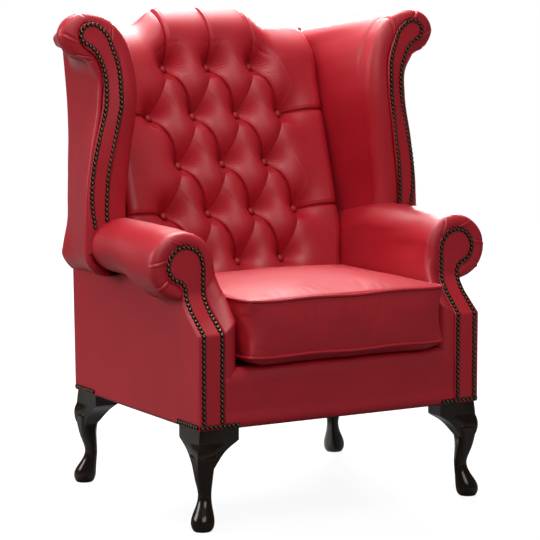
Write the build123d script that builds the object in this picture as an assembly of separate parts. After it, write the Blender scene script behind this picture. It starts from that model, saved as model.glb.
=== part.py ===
from build123d import *
import math
import os

# Wingback chair, in millimetres. The front of the chair faces -Y, +Z is up, and the origin is on
# the floor under the middle of the chair. Right is +X and left is -X, as seen from the front.
# A piece that exists on both sides is drawn on the +X side and mirrored.

# Upholstered body
BODY_HALF_WIDTH = 350
BODY_FRONT = -322
BODY_BOTTOM = 213
COVER = 4
REAR_LINE = [(264, BODY_BOTTOM), (278, 700), (340, 1030)]

# Timber frame
FRAME_HALF_WIDTH = BODY_HALF_WIDTH - COVER
FRAME_FRONT = BODY_FRONT + COVER
FRAME_REAR = REAR_LINE[0][0] - COVER
RAIL_TOP = 300
RAIL_THICKNESS = 30
LEG_POST = 50
BLOCK_LEG = 104
BLOCK_Z = (232, 286)
BOLT_RADIUS = 4
BOLT_LENGTH = 62
BOLT_HEAD = 6
POST_DEPTH = 30
POST_X = (292, 336)
POST_TOP = 1000
POST_SWELL = [(208, RAIL_TOP), (131, 400), (262, 800)]
LOW_RAIL_Z = (345, 400)
LOW_RAIL_Y = (134, 156)
CREST_RAIL_FOOT = 930
CREST_RAIL_DEPTH = 22
CREST_RAIL_COVER = 24

# Cabriole legs: stations of the stem from the floor up as height, distance of the centre from
# the outer corner, half width and corner radius. Then those of the knee with its two ears, as
# height, reach, thickness, how far the knee and its flanks stand out, and the corner's chamfer.
LEG_STATIONS = [
    (0, 10.0, 17.5, 17.0),
    (4, 10.4, 21.0, 20.5),
    (18, 11.0, 24.6, 24.0),
    (34, 13.8, 22.0, 21.4),
    (54, 19.2, 16.2, 15.8),
    (73, 21.8, 14.0, 13.6),
    (100, 18.6, 16.6, 13.6),
    (126, 16.0, 19.4, 12.6),
    (146, 15.8, 22.0, 10.0),
    (160, 17.6, 22.6, 8.0),
]
EAR_LENGTH = 92
EAR_STATIONS = [
    (131, 33, 26, 1.0, 0.5, 9.0),
    (142, 41, 31, 6.2, 4.0, 7.0),
    (153, 49, 36, 7.8, 5.2, 6.0),
    (165, 60, 40, 7.6, 4.6, 5.0),
    (176, 75, 44, 5.0, 2.6, 4.0),
    (187, EAR_LENGTH, 47, 2.4, 1.0, 3.0),
    (BODY_BOTTOM, EAR_LENGTH, 48, 0, 0, 3.0),
]

# Arms: front post with its scroll, padded roll and inner slab
KNEE_HEIGHT = 411
NECK_HEIGHT = 483
NECK_SETBACK = 73
ARM_FRONT_TOP = 620
FACING = COVER
STUMP_DEPTH = 28
SCROLL_X = 341
SCROLL_Z = 546
SCROLL_RADIUS = 47
ROLL_X = 345
ROLL_Z = 547
ROLL_RADIUS = 70
ROLL_NOSE = 26
ROLL_ROUND_END = -170
ROLL_REAR = 262
ROLL_SECTIONS = [
    (ROLL_ROUND_END, ROLL_X, ROLL_Z, ROLL_RADIUS, ROLL_RADIUS),
    (-50, ROLL_X, 561, ROLL_RADIUS, 56),
    (36, ROLL_X, 561, ROLL_RADIUS, 56),
    (ROLL_REAR, 330, 547, 56, 50),
]
ARM_INNER_X = 255
ARM_SLAB_OUT = 288
ARM_NOSE = 32
ARM_RAIL_X = (298, 336)
ARM_RAIL_Z = (520, 550)

# Wings: outlines seen from the front. The inner edge runs up to the top of the scroll, and the
# outer edge from there down.
WING_FRONT = 36
WING_NOSE = 34
WING_REAR = 338
WING_FRAME_DEPTH = 24
WING_FRAME_INSET = 4
WING_RAIL = (22, 24)
WING_RAIL_ENDS = [(380, 64, 1000), (314, 300, 988)]
FACING_TOP = (409, 1047)
FACING_INNER = [(374, 548), (374, 660), (358, 775), (341, 885), (344, 955), (362, 1003), (378, 1030)]
FACING_OUTER = [
    (441, 1026), (434, 1000), (402, 972), (386, 930),
    (387, 870), (408, 770), (422, 680), (423, 548),
]
PAD_TOP = (415, 1066)
PAD_INNER = [(320, 548), (322, 650), (309, 768), (295, 893), (303, 959), (327, 1018), (356, 1048)]
PAD_OUTER = [
    (462, 1022), (446, 982), (409, 966), (393, 930),
    (393, 870), (412, 770), (424, 680), (426, 548),
]
REAR_TOP = (345, 1033)
REAR_INNER = [(276, 548), (276, 650), (274, 768), (274, 893), (275, 959), (284, 1006), (312, 1026)]
REAR_OUTER = [
    (374, 1012), (362, 990), (348, 978), (344, 930),
    (344, 870), (347, 770), (349, 680), (350, 548),
]
SKIRT_FRONT = [(428, 562), (421, 521)]
SKIRT_REAR = [(371, 554), (368, 508)]
SKIRT_START = 2
SKIRT_DEPTH = 28

# Inside back: buttons in a leaning plane, in rows of 3, 4, 3, 4, 3 from the bottom up, with a
# full tuft between them
BACK_LEAN = 18.3
BACK_ROW_Y = 137
BACK_ROW_Z = 496
TUFT_PITCH = 114
ROW_SPACING = 114.4
ROW_COUNT = 5
TUFT_HEIGHT = 45
TUFT_VALLEY = 14
TUFT_ROOT = 4
BACK_PAD = 24
BACK_BOTTOM = 345
CREST_LOW = 1016.5
CREST_HIGH = 1065
CREST_FLAT = 96
CREST_END = 195
CREST_ROLL = 150
CREST_SWELL = 44
CREST_OVERHANG = 36
BUTTON_RADIUS = 8.5
BUTTON_HEIGHT = 6
BUTTON_WELL = 9.5
BUTTON_WELL_MOUTH = 27
SEAM_LINE = [(254, BACK_BOTTOM), (254, KNEE_HEIGHT), (258, NECK_HEIGHT), (273, 548), (280, 1090)]

# Seat
BORDER_TOP = 312
BORDER_LIP = 338
BORDER_LIP_DEPTH = 32
PLATFORM_HALF_WIDTH = 252
PLATFORM_TOP = 340
PLATFORM_REAR = 125
CUSHION_HALF_WIDTH = 246
CUSHION_FRONT = -344
CUSHION_REAR = 66
CUSHION_SEAMS = (358, 477)
CUSHION_CORNER = 26
CUSHION_CROWN = 24
CUSHION_BELLY = 17
CUSHION_DRAW_IN = 6
PIPING_RADIUS = 3.2
WEB_WIDTH = 50
WEB_THICKNESS = 2
WEB_PITCH = 92
DUST_COVER = 1.5

LEAN = math.radians(BACK_LEAN)
BEND = math.sqrt(0.5)
REACH = 700


def save(name, piece):
    export_step(piece, "parts/" + name + ".step")


def save_both_sides(name, piece):
    save("right_" + name, piece)
    save("left_" + name, piece.mirror(Plane.YZ))


def box(x, y, z):
    """A box given by its two ends along each axis."""
    middle = Pos(sum(x) / 2, sum(y) / 2, sum(z) / 2)
    return middle * Box(x[1] - x[0], y[1] - y[0], z[1] - z[0])


def side_prism(points, x):
    """A prism along X from the points (y, z) of its side view, between two values of x."""
    outline = make_face(Polyline(*[(x[0], y, z) for y, z in points], close=True))
    return extrude(outline, amount=x[1] - x[0], dir=(1, 0, 0))


def front_prism(points, y):
    """A prism along Y from the points (x, z) of its front view, between two values of y."""
    outline = make_face(Polyline(*[(x, y[0], z) for x, z in points], close=True))
    return extrude(outline, amount=y[1] - y[0], dir=(0, 1, 0))


def rear_y(z):
    """The outside back of the chair at a height."""
    (y0, z0), (y1, z1), (y2, z2) = REAR_LINE
    if z < z1:
        return y0 + (y1 - y0) * (z - z0) / (z1 - z0)
    return y1 + (y2 - y1) * (z - z1) / (z2 - z1)


def button_plane_y(z):
    """The leaning plane through the buttons, at a height."""
    return BACK_ROW_Y + (z - BACK_ROW_Z) * math.tan(LEAN)


def crest_z(x):
    """The serpentine top of the back: a flat hump in the middle that falls to lower shoulders."""
    rise = min(1, max(0, (CREST_END - abs(x)) / (CREST_END - CREST_FLAT)))
    return CREST_LOW + (CREST_HIGH - CREST_LOW) * rise * rise * (3 - 2 * rise)


os.makedirs("parts", exist_ok=True)


# Cabriole leg, drawn with its outer corner at the origin and its inside towards -X and +Y: the
# stem sways out at the knee, in at the ankle and out to the pad foot, and an ear flows from the
# knee along each rail.
def ear_outline(height, reach, thickness, bulge, flank, chamfer):
    """The plan of the knee and its ears at a height, from one ear's tip round to the other's."""
    corner = bulge - chamfer
    points = [
        (-reach, 0),
        (-reach / 2, -flank),
        (corner, -bulge),
        (bulge, -corner),
        (flank, reach / 2),
        (0, reach),
        (-thickness, reach),
        (-thickness, thickness),
        (-reach, thickness),
    ]
    return make_face(Polyline(*[(x, y, height) for x, y in points], close=True))


def leg():
    sections = []
    for height, inward, half, corner in LEG_STATIONS:
        place = Plane(origin=(-inward, inward, height))
        sections.append(place * RectangleRounded(2 * half, 2 * half, corner))
    outlines = [ear_outline(*station) for station in EAR_STATIONS]
    ears = loft(outlines[:-1]) + loft(outlines[-2:])
    post = box((-LEG_POST, 0), (0, LEG_POST), (BODY_BOTTOM, RAIL_TOP))
    return loft(sections) + ears + post


def leg_bolt():
    """A bolt along the diagonal, from the face of the corner block into the leg post."""
    shank = Pos(-BOLT_LENGTH / 2, 0, 0) * (Rot(0, 90, 0) * Cylinder(BOLT_RADIUS, BOLT_LENGTH))
    head = Pos(BOLT_HEAD / 2, 0, 0) * (Rot(0, 90, 0) * Cylinder(2 * BOLT_RADIUS, BOLT_HEAD))
    spot = (BLOCK_LEG + RAIL_THICKNESS) / 2
    return Pos(-spot, spot, sum(BLOCK_Z) / 2) * Rot(0, 0, 135) * (shank + head)


def corner_block():
    """A three-cornered block between the two rails, notched around the leg post."""
    corners = [
        (LEG_POST, RAIL_THICKNESS),
        (BLOCK_LEG, RAIL_THICKNESS),
        (RAIL_THICKNESS, BLOCK_LEG),
        (RAIL_THICKNESS, LEG_POST),
        (LEG_POST, LEG_POST),
    ]
    outline = make_face(Polyline(*[(-u, v, BLOCK_Z[0]) for u, v in corners], close=True))
    return extrude(outline, amount=BLOCK_Z[1] - BLOCK_Z[0], dir=(0, 0, 1))


def at_corners(piece):
    """A piece drawn at the outer corner, placed at the four corners of the frame by name."""
    front = Pos(FRAME_HALF_WIDTH, FRAME_FRONT, 0) * piece
    rear = Pos(FRAME_HALF_WIDTH, FRAME_REAR, 0) * piece.mirror(Plane.XZ)
    return {
        "front_right": front,
        "front_left": front.mirror(Plane.YZ),
        "rear_right": rear,
        "rear_left": rear.mirror(Plane.YZ),
    }


bolt = leg_bolt()
for corner, piece in at_corners(leg() - bolt).items():
    save(corner + "_leg", piece)
for corner, piece in at_corners(corner_block() - bolt).items():
    save(corner + "_corner_block", piece)
save("leg_bolts", Compound(children=list(at_corners(bolt).values())))

# Seat frame: four rails between the leg posts.
rail_end = FRAME_HALF_WIDTH - LEG_POST
rail_z = (BODY_BOTTOM, RAIL_TOP)
front_rail_y = (FRAME_FRONT, FRAME_FRONT + RAIL_THICKNESS)
rear_rail_y = (FRAME_REAR - RAIL_THICKNESS, FRAME_REAR)
side_rail_x = (FRAME_HALF_WIDTH - RAIL_THICKNESS, FRAME_HALF_WIDTH)
side_rail_y = (FRAME_FRONT + LEG_POST, FRAME_REAR - LEG_POST)
save("front_seat_rail", box((-rail_end, rail_end), front_rail_y, rail_z))
save("rear_seat_rail", box((-rail_end, rail_end), rear_rail_y, rail_z))
save_both_sides("seat_rail", box(side_rail_x, side_rail_y, rail_z))

# Back frame: two posts that follow the outside back and swell forward to carry the leaning
# inside back, a crest rail cut to the serpentine top and a low rail for the webbing.
post_side = [(rear_y(z) - COVER, z) for z in (RAIL_TOP, REAR_LINE[1][1], POST_TOP)]
post_side += [(rear_y(POST_TOP) - COVER - POST_DEPTH, POST_TOP)] + POST_SWELL[::-1]
back_post = side_prism(post_side, POST_X)
save_both_sides("back_post", back_post)

crest_half = POST_X[0]
crest_steps = [crest_half * i / 8 for i in range(-8, 9)]
crest_edge = [(x, crest_z(x) - CREST_RAIL_COVER) for x in crest_steps]
crest_edge += [(crest_half, CREST_RAIL_FOOT), (-crest_half, CREST_RAIL_FOOT)]
crest_board = front_prism(crest_edge, (-CREST_RAIL_DEPTH, 0))
(bend_y, bend_z), (top_y, top_z) = REAR_LINE[1:]
crest_lean = math.degrees(math.atan2(top_y - bend_y, top_z - bend_z))
crest_board = crest_board.rotate(Axis((0, 0, CREST_RAIL_FOOT), (1, 0, 0)), -crest_lean)
crest_rail = Pos(0, rear_y(CREST_RAIL_FOOT) - COVER, 0) * crest_board
save("crest_rail", crest_rail)

low_rail = box((-POST_X[0], POST_X[0]), LOW_RAIL_Y, LOW_RAIL_Z)
save("lower_back_rail", low_rail)


# Front posts of the arms: the facing is a thin nailed panel and the stump is the timber behind it.
# Both have the same scrolled front view, and a side view that steps back above the knee.
def front_line(shift):
    """The side view of the front of the arm, moved back by a shift, from the bottom to the top."""
    y = BODY_FRONT + shift
    back = y + NECK_SETBACK
    slope = (0, y + 50, KNEE_HEIGHT + 42)
    return [
        Line((0, y, BODY_BOTTOM), (0, y, KNEE_HEIGHT)),
        Line((0, y, KNEE_HEIGHT), slope),
        ThreePointArc(slope, (0, back - 7, NECK_HEIGHT - 9), (0, back, NECK_HEIGHT + 12)),
        Line((0, back, NECK_HEIGHT + 12), (0, back, ARM_FRONT_TOP)),
    ]


def front_band(near, far):
    """All that lies between two shifts of the front line, over one side of the chair."""
    start = front_line(near)
    end = front_line(far)
    low = Line(start[0] @ 0, end[0] @ 0)
    high = Line(start[-1] @ 1, end[-1] @ 1)
    return extrude(make_face([low, high] + start + end), amount=BODY_HALF_WIDTH + 60, dir=(1, 0, 0))


def scroll_front(inset):
    """The front view of the arm post: straight sides, a narrow neck and the scroll above it."""
    inner = ARM_SLAB_OUT + inset
    outer = BODY_HALF_WIDTH - inset
    neck = SCROLL_X + 7 - inset
    radius = SCROLL_RADIUS - inset
    left = (SCROLL_X - radius, 0, SCROLL_Z)
    low_angle = math.radians(42)
    low = (SCROLL_X + radius * math.cos(low_angle), 0, SCROLL_Z - radius * math.sin(low_angle))
    outline = make_face([
        Line((inner, 0, BODY_BOTTOM), (inner, 0, KNEE_HEIGHT)),
        Line((inner, 0, KNEE_HEIGHT), (inner + 6, 0, NECK_HEIGHT)),
        Line((inner + 6, 0, NECK_HEIGHT), left),
        ThreePointArc(left, (SCROLL_X, 0, SCROLL_Z + radius), low),
        ThreePointArc(low, (neck + 9, 0, 507), (neck, 0, 492)),
        Line((neck, 0, 492), (neck, 0, NECK_HEIGHT)),
        Line((neck, 0, NECK_HEIGHT), (outer, 0, KNEE_HEIGHT)),
        Line((outer, 0, KNEE_HEIGHT), (outer, 0, BODY_BOTTOM)),
        Line((outer, 0, BODY_BOTTOM), (inner, 0, BODY_BOTTOM)),
    ])
    return Pos(0, -REACH, 0) * extrude(outline, amount=REACH, dir=(0, 1, 0))


arm_facing = scroll_front(0) & front_band(0, FACING)
above_rails = box((0, REACH), (-REACH, REACH), (RAIL_TOP, 2 * REACH))
arm_stump = scroll_front(COVER) & front_band(FACING, FACING + STUMP_DEPTH) & above_rails
save_both_sides("arm_facing", arm_facing)
save_both_sides("arm_stump", arm_stump)

arm_rail_front = BODY_FRONT + NECK_SETBACK + FACING + STUMP_DEPTH
arm_rail = box(ARM_RAIL_X, (arm_rail_front, ROLL_REAR), ARM_RAIL_Z) - back_post
save_both_sides("arm_rail", arm_rail)


# Arm pad: the roll with its turned front end, the flatter sections that carry it on to the back,
# and the inner slab with its rounded front edge, which steps back with the stump.
def arm_roll():
    start = BODY_FRONT + NECK_SETBACK + FACING
    edge = start + ROLL_NOSE
    swell = (SCROLL_RADIUS + (ROLL_RADIUS - SCROLL_RADIUS) * BEND, edge - ROLL_NOSE * BEND)
    profile = make_face([
        Line((0, start), (SCROLL_RADIUS, start)),
        ThreePointArc((SCROLL_RADIUS, start), swell, (ROLL_RADIUS, edge)),
        Line((ROLL_RADIUS, edge), (ROLL_RADIUS, ROLL_ROUND_END)),
        Line((ROLL_RADIUS, ROLL_ROUND_END), (0, ROLL_ROUND_END)),
        Line((0, ROLL_ROUND_END), (0, start)),
    ])
    roll = Pos(ROLL_X, 0, ROLL_Z) * revolve(profile, Axis.Y)
    sections = []
    for y, x, z, half_width, half_height in ROLL_SECTIONS:
        plane = Plane(origin=(x, y, z), x_dir=(1, 0, 0), z_dir=(0, 1, 0))
        sections.append(plane * Ellipse(half_width, half_height))
    return roll + loft(sections, ruled=True)


def arm_slab():
    front = BODY_FRONT + FACING
    flat = ARM_INNER_X + ARM_NOSE
    edge = front + ARM_NOSE
    outer = ARM_SLAB_OUT + COVER
    swell = (flat - ARM_NOSE * BEND, edge - ARM_NOSE * BEND)
    plan = make_face([
        Line((outer, front), (flat, front)),
        ThreePointArc((flat, front), swell, (ARM_INNER_X, edge)),
        Line((ARM_INNER_X, edge), (ARM_INNER_X, ROLL_REAR)),
        Line((ARM_INNER_X, ROLL_REAR), (outer, ROLL_REAR)),
        Line((outer, ROLL_REAR), (outer, front)),
    ])
    corners = [
        Vector(0, 0, RAIL_TOP + WEB_THICKNESS),
        Vector(0, 0, KNEE_HEIGHT),
        Vector(4, NECK_SETBACK, NECK_HEIGHT),
        Vector(19, NECK_SETBACK, ROLL_Z),
    ]
    slab = None
    for low, high in zip(corners, corners[1:]):
        layer = extrude(Pos(*low) * plan, amount=(high - low).length, dir=high - low)
        slab = layer if slab is None else slab + layer
    return slab & box((0, REACH), (-REACH, ROLL_REAR), (0, REACH))


arm_body = arm_roll() + arm_slab()
stump_room = scroll_front(COVER) & front_band(0, FACING + STUMP_DEPTH)
arm_pad = arm_body - stump_room - arm_facing - arm_rail - back_post - low_rail


# Wings: sections across the depth of the wing, each a closed outline seen from the front. The
# padding swells from the nailed facing to its full outline and then slims towards the back.
def mixed(start, end, share):
    """An outline part of the way from one list of points to another."""
    return [(a + (c - a) * share, b + (d - b) * share) for (a, b), (c, d) in zip(start, end)]


def moved_in(points, distance, start=0):
    """An outline with its points from a given one on moved towards the middle of the chair."""
    return points[:start] + [(x - distance, z) for x, z in points[start:]]


def wing_section(inner, top, outer, y):
    """The face between an inner and an outer edge that meet at the top of the scroll."""
    inner_edge = Spline(*[(x, y, z) for x, z in inner + [top]])
    outer_edge = Spline(*[(x, y, z) for x, z in [top] + outer])
    return make_face([inner_edge, outer_edge, Line(outer_edge @ 1, inner_edge @ 0)])


def wing_body():
    front = WING_FRONT + FACING
    full = WING_FRONT + WING_NOSE
    pad = wing_section(PAD_INNER, PAD_TOP, moved_in(PAD_OUTER, COVER, SKIRT_START), full)
    rear = wing_section(REAR_INNER, REAR_TOP, moved_in(REAR_OUTER, COVER, SKIRT_START), WING_REAR)
    share = 0.7
    swell = wing_section(
        mixed(FACING_INNER, PAD_INNER, share),
        mixed([FACING_TOP], [PAD_TOP], share)[0],
        moved_in(mixed(FACING_OUTER, PAD_OUTER, share), COVER * share, SKIRT_START),
        front + WING_NOSE * 0.3,
    )
    nose = loft([wing_section(FACING_INNER, FACING_TOP, FACING_OUTER, front), swell, pad])
    return nose + loft([pad, rear], ruled=True)


def wing_cover():
    """A thick cover over the outer face of the wing, which hangs down over the roll of the arm."""
    front_edge = PAD_OUTER[SKIRT_START:-1] + SKIRT_FRONT
    rear_edge = REAR_OUTER[SKIRT_START:-1] + SKIRT_REAR
    full = WING_FRONT + WING_NOSE
    sections = []
    for y, outer in ((full - WING_NOSE / 2, front_edge), (full, front_edge), (WING_REAR, rear_edge)):
        inner = moved_in(outer, SKIRT_DEPTH)[::-1]
        outer_edge = Spline(*[(x, y, z) for x, z in outer])
        inner_edge = Spline(*[(x, y, z) for x, z in inner])
        foot = Line(outer_edge @ 1, inner_edge @ 0)
        head = Line(inner_edge @ 1, outer_edge @ 0)
        sections.append(make_face([outer_edge, foot, inner_edge, head]))
    return loft(sections, ruled=True)


rear_heights = (0, REAR_LINE[1][1], 2 * REACH)
rear_cut = [(rear_y(z) - COVER, z) for z in rear_heights]
before_back = side_prism([(-REACH, 0)] + rear_cut + [(-REACH, 2 * REACH)], (-REACH, REACH))
seam_outline = [(-x, z) for x, z in SEAM_LINE] + SEAM_LINE[::-1]
between_seams = front_prism(seam_outline, (-REACH, REACH))

wing_facing_face = wing_section(FACING_INNER, FACING_TOP, FACING_OUTER, WING_FRONT)
wing_facing = extrude(wing_facing_face, amount=FACING, dir=(0, 1, 0)) - arm_body
frame_top = (FACING_TOP[0], FACING_TOP[1] - WING_FRAME_INSET)
frame_inner = moved_in(FACING_INNER, -WING_FRAME_INSET)
frame_outer = moved_in(FACING_OUTER, WING_FRAME_INSET)
frame_face = wing_section(frame_inner, frame_top, frame_outer, WING_FRONT)
wing_frame = extrude(Pos(0, FACING, 0) * frame_face, amount=WING_FRAME_DEPTH, dir=(0, 1, 0))
wing_frame -= box((0, REACH), (0, REACH), (0, ARM_RAIL_Z[1]))
rail_start = Vector(*WING_RAIL_ENDS[0])
rail_run = Vector(*WING_RAIL_ENDS[1]) - rail_start
rail_face = Plane(origin=rail_start, z_dir=(0, -1, 0)) * Rectangle(*WING_RAIL)
wing_rail = extrude(rail_face, amount=rail_run.length, dir=rail_run) - wing_frame - back_post
wing_full = wing_body()
wing_timber = wing_frame + wing_rail + back_post
wing_pad = (wing_full & before_back) - arm_body - between_seams - wing_timber - crest_rail
outside_wing = (wing_cover() & before_back) - wing_full - arm_body - back_post
arm_pad -= wing_frame
save_both_sides("arm_pad", arm_pad)
save_both_sides("wing_facing", wing_facing)
save_both_sides("wing_frame", wing_frame)
save_both_sides("wing_rail", wing_rail)
save_both_sides("wing_pad", wing_pad)
save_both_sides("outside_wing", outside_wing)

# Outside arm: the flat cover from the bottom of the body up to the roll, cut to the rear line.
outside_top = NECK_HEIGHT + 24
outside_side = [(BODY_FRONT, BODY_BOTTOM), (BODY_FRONT, outside_top)]
outside_side += [(rear_y(z) - COVER, z) for z in (outside_top, BODY_BOTTOM)]
outside_arm = side_prism(outside_side, (FRAME_HALF_WIDTH, BODY_HALF_WIDTH))
outside_arm -= arm_body + front_band(-NECK_SETBACK, FACING)
outside_arm -= outside_wing
save_both_sides("outside_arm", outside_arm)


# Inside back: a leaning pad that rolls over at the top, with a swelling in each diamond of the
# buttons. The swellings are one stretched sphere, which meets its neighbours in the pleats.
def back_section(x):
    """The side view of the pad at one x: a flat lower part and the roll under the crest."""
    top = crest_z(x)
    start = top - CREST_ROLL
    swell = top - CREST_ROLL / 2
    rear = top - CREST_OVERHANG
    valley = TUFT_VALLEY / math.cos(LEAN)
    roll_start = (x, button_plane_y(start) - valley, start)
    crest = (x, rear_y(top) - 12, top)
    roll_end = (x, rear_y(rear), rear)
    roll_back = (x, button_plane_y(start) + BACK_PAD, start)
    foot_y = button_plane_y(BACK_BOTTOM) - valley
    foot_back = (x, button_plane_y(BACK_BOTTOM) + BACK_PAD, BACK_BOTTOM)
    return make_face([
        Line((x, foot_y, BACK_BOTTOM), roll_start),
        ThreePointArc(roll_start, (x, button_plane_y(swell) - CREST_SWELL, swell), crest),
        ThreePointArc(crest, (x, rear_y(top) - 2, top - 10), roll_end),
        Line(roll_end, roll_back),
        Line(roll_back, foot_back),
        Line(foot_back, (x, foot_y, BACK_BOTTOM)),
    ])


half_pitch = TUFT_PITCH / 2
tuft_out = (0, -math.cos(LEAN), math.sin(LEAN))
tuft_plane = Plane(origin=(0, BACK_ROW_Y, BACK_ROW_Z), x_dir=(1, 0, 0), z_dir=tuft_out)
button_rows = []
for row in range(ROW_COUNT):
    count = 3 if row % 2 == 0 else 4
    button_rows.append([((i - (count - 1) / 2) * TUFT_PITCH, row * ROW_SPACING) for i in range(count)])


def tuft():
    """One diamond swelling, lofted from its widest line to the button at each end."""
    rise = TUFT_HEIGHT - TUFT_VALLEY
    foot = TUFT_VALLEY - TUFT_ROOT
    sections = []
    for share in (0, 0.35, 0.7, 0.97):
        half = half_pitch * (1 - share)
        top = min(TUFT_VALLEY + rise * (1 - share * share), TUFT_VALLEY + 0.85 * half)
        y = share * ROW_SPACING
        sections.append(make_face([
            Line((-half, y, TUFT_VALLEY), (-half, y, foot)),
            Line((-half, y, foot), (half, y, foot)),
            Line((half, y, foot), (half, y, TUFT_VALLEY)),
            ThreePointArc((half, y, TUFT_VALLEY), (0, y, top), (-half, y, TUFT_VALLEY)),
        ]))
    upper = loft(sections)
    return upper + upper.mirror(Plane.XZ)


def side_tuft():
    """The long swelling from the outer tufts to the side, between the pleats of two rows."""
    foot = TUFT_VALLEY - TUFT_ROOT
    low = (0, -ROW_SPACING, TUFT_VALLEY)
    high = (0, ROW_SPACING, TUFT_VALLEY)
    outline = make_face([
        Line(low, (0, -ROW_SPACING, foot)),
        Line((0, -ROW_SPACING, foot), (0, ROW_SPACING, foot)),
        Line((0, ROW_SPACING, foot), high),
        ThreePointArc(high, (0, 0, TUFT_HEIGHT), low),
    ])
    return extrude(outline, amount=TUFT_PITCH, dir=(1, 0, 0))


def tufts():
    """The swellings beside the buttons of each row. Above the top row the crest takes their place."""
    whole = tuft()
    beside = whole & Pos(-REACH / 2, 0, 0) * Box(REACH, REACH, REACH)
    beside += side_tuft()
    below = Pos(0, -REACH / 2, 0) * Box(REACH, REACH, REACH)
    found = []
    for places in button_rows:
        for (x, y), (next_x, _) in zip(places, places[1:]):
            found.append(Pos((x + next_x) / 2, y, 0) * whole)
        if len(places) == 3:
            x, y = places[-1]
            outer = beside & below if places == button_rows[-1] else beside
            outer = Pos(x + half_pitch, y, 0) * outer
            found += [outer, outer.mirror(Plane.YZ)]
    return [tuft_plane.location * piece for piece in found]


crest_stations = [CREST_FLAT / 2, CREST_FLAT, (CREST_FLAT + CREST_END) / 2, CREST_END, CREST_END + 45]
crest_stations.append(SEAM_LINE[-1][0] + 10)
stations = [-x for x in crest_stations[::-1]] + [0] + crest_stations
back_pad = loft([back_section(x) for x in stations])
inside_back = (back_pad + tufts()) & between_seams


buttons = []
wells = []
for x, y in [place for places in button_rows for place in places]:
    spot = tuft_plane.location * Pos(x, y, 0)
    ball_radius = (BUTTON_RADIUS ** 2 + BUTTON_HEIGHT ** 2) / (2 * BUTTON_HEIGHT)
    ball = Pos(0, 0, BUTTON_HEIGHT - ball_radius) * Sphere(ball_radius)
    cap = ball & Pos(0, 0, BUTTON_HEIGHT / 2) * Box(4 * BUTTON_RADIUS, 4 * BUTTON_RADIUS, BUTTON_HEIGHT)
    buttons.append(spot * cap)
    wells.append(spot * Pos(0, 0, TUFT_HEIGHT / 2) * Cone(BUTTON_WELL, BUTTON_WELL_MOUTH, TUFT_HEIGHT))
inside_back = inside_back - wells - crest_rail
save("inside_back", inside_back)
save("back_buttons", Compound(children=buttons))

# Outside back: one flat cover from the bottom of the body to just under the roll of the crest.
panel_side = [(rear_y(z), z) for z in (BODY_BOTTOM, REAR_LINE[1][1], CREST_HIGH)]
panel_side += [(y - COVER, z) for y, z in panel_side[::-1]]
panel_steps = [SEAM_LINE[-1][0] * i / 7 for i in range(-7, 8)]
panel_top = [(x, crest_z(x) - CREST_OVERHANG - 2) for x in panel_steps]
panel_sides = [(BODY_HALF_WIDTH, BODY_BOTTOM), (BODY_HALF_WIDTH, 600), (343, 800), (343, 978)]
panel_front = [(-x, z) for x, z in panel_sides] + panel_top + panel_sides[::-1]
outside_back = side_prism(panel_side, (-REACH, REACH)) & front_prism(panel_front, (0, REACH))
outside_back = outside_back - inside_back - crest_rail
save("outside_back", outside_back)


# Webbing: a grid of straps under the seat, and one behind the inside back.
def straps(half_width, length, across, along):
    """A flat grid of straps about the origin, with their middles at the given offsets."""
    found = [Pos(x, 0, 0) * Box(WEB_WIDTH, length, WEB_THICKNESS) for x in across]
    found += [Pos(0, y, 0) * Box(2 * half_width, WEB_WIDTH, WEB_THICKNESS) for y in along]
    return Part() + found


seat_length = FRAME_REAR - FRAME_FRONT - RAIL_THICKNESS
seat_offsets = [i * WEB_PITCH for i in (-2, -1, 0, 1, 2)]
seat_web = straps(FRAME_HALF_WIDTH - RAIL_THICKNESS / 2, seat_length, seat_offsets, seat_offsets)
seat_middle = (FRAME_FRONT + FRAME_REAR) / 2
save("seat_webbing", Pos(0, seat_middle, RAIL_TOP + WEB_THICKNESS / 2) * seat_web)

back_length = (ROW_COUNT - 0.5) * ROW_SPACING
back_offsets = [i * WEB_PITCH for i in (-1.5, -0.5, 0.5, 1.5)]
back_web = straps(SEAM_LINE[2][0] - COVER, back_length, back_offsets, back_offsets)
back_middle = Pos(0, ROW_SPACING * (ROW_COUNT - 1.5) / 2, -BACK_PAD * math.cos(LEAN) - WEB_THICKNESS / 2)
save("back_webbing", tuft_plane.location * back_middle * back_web - inside_back)

# Seat platform: the stuffed deck that the cushion rests on, and the front border that covers the
# front rail and ends in a soft lip.
lip_y = (BODY_FRONT, BODY_FRONT + BORDER_LIP_DEPTH)
platform_z = (RAIL_TOP + WEB_THICKNESS, PLATFORM_TOP)
platform = box((-PLATFORM_HALF_WIDTH, PLATFORM_HALF_WIDTH), (lip_y[1], PLATFORM_REAR), platform_z)
save("seat_platform", platform - low_rail)

sheet = box((-ARM_SLAB_OUT, ARM_SLAB_OUT), (BODY_FRONT, FRAME_FRONT), (BODY_BOTTOM, BORDER_TOP))
lip_foot = RAIL_TOP + WEB_THICKNESS
lip_round = BORDER_LIP - 14
lip_middle = sum(lip_y) / 2
lip_outline = make_face([
    Line((0, lip_y[0], lip_foot), (0, lip_y[0], lip_round)),
    ThreePointArc((0, lip_y[0], lip_round), (0, lip_middle, BORDER_LIP), (0, lip_y[1], lip_round)),
    Line((0, lip_y[1], lip_round), (0, lip_y[1], lip_foot)),
    Line((0, lip_y[1], lip_foot), (0, lip_y[0], lip_foot)),
])
lip = extrude(Pos(-PLATFORM_HALF_WIDTH, 0, 0) * lip_outline, amount=2 * PLATFORM_HALF_WIDTH, dir=(1, 0, 0))
save("front_border", sheet + lip)

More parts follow.
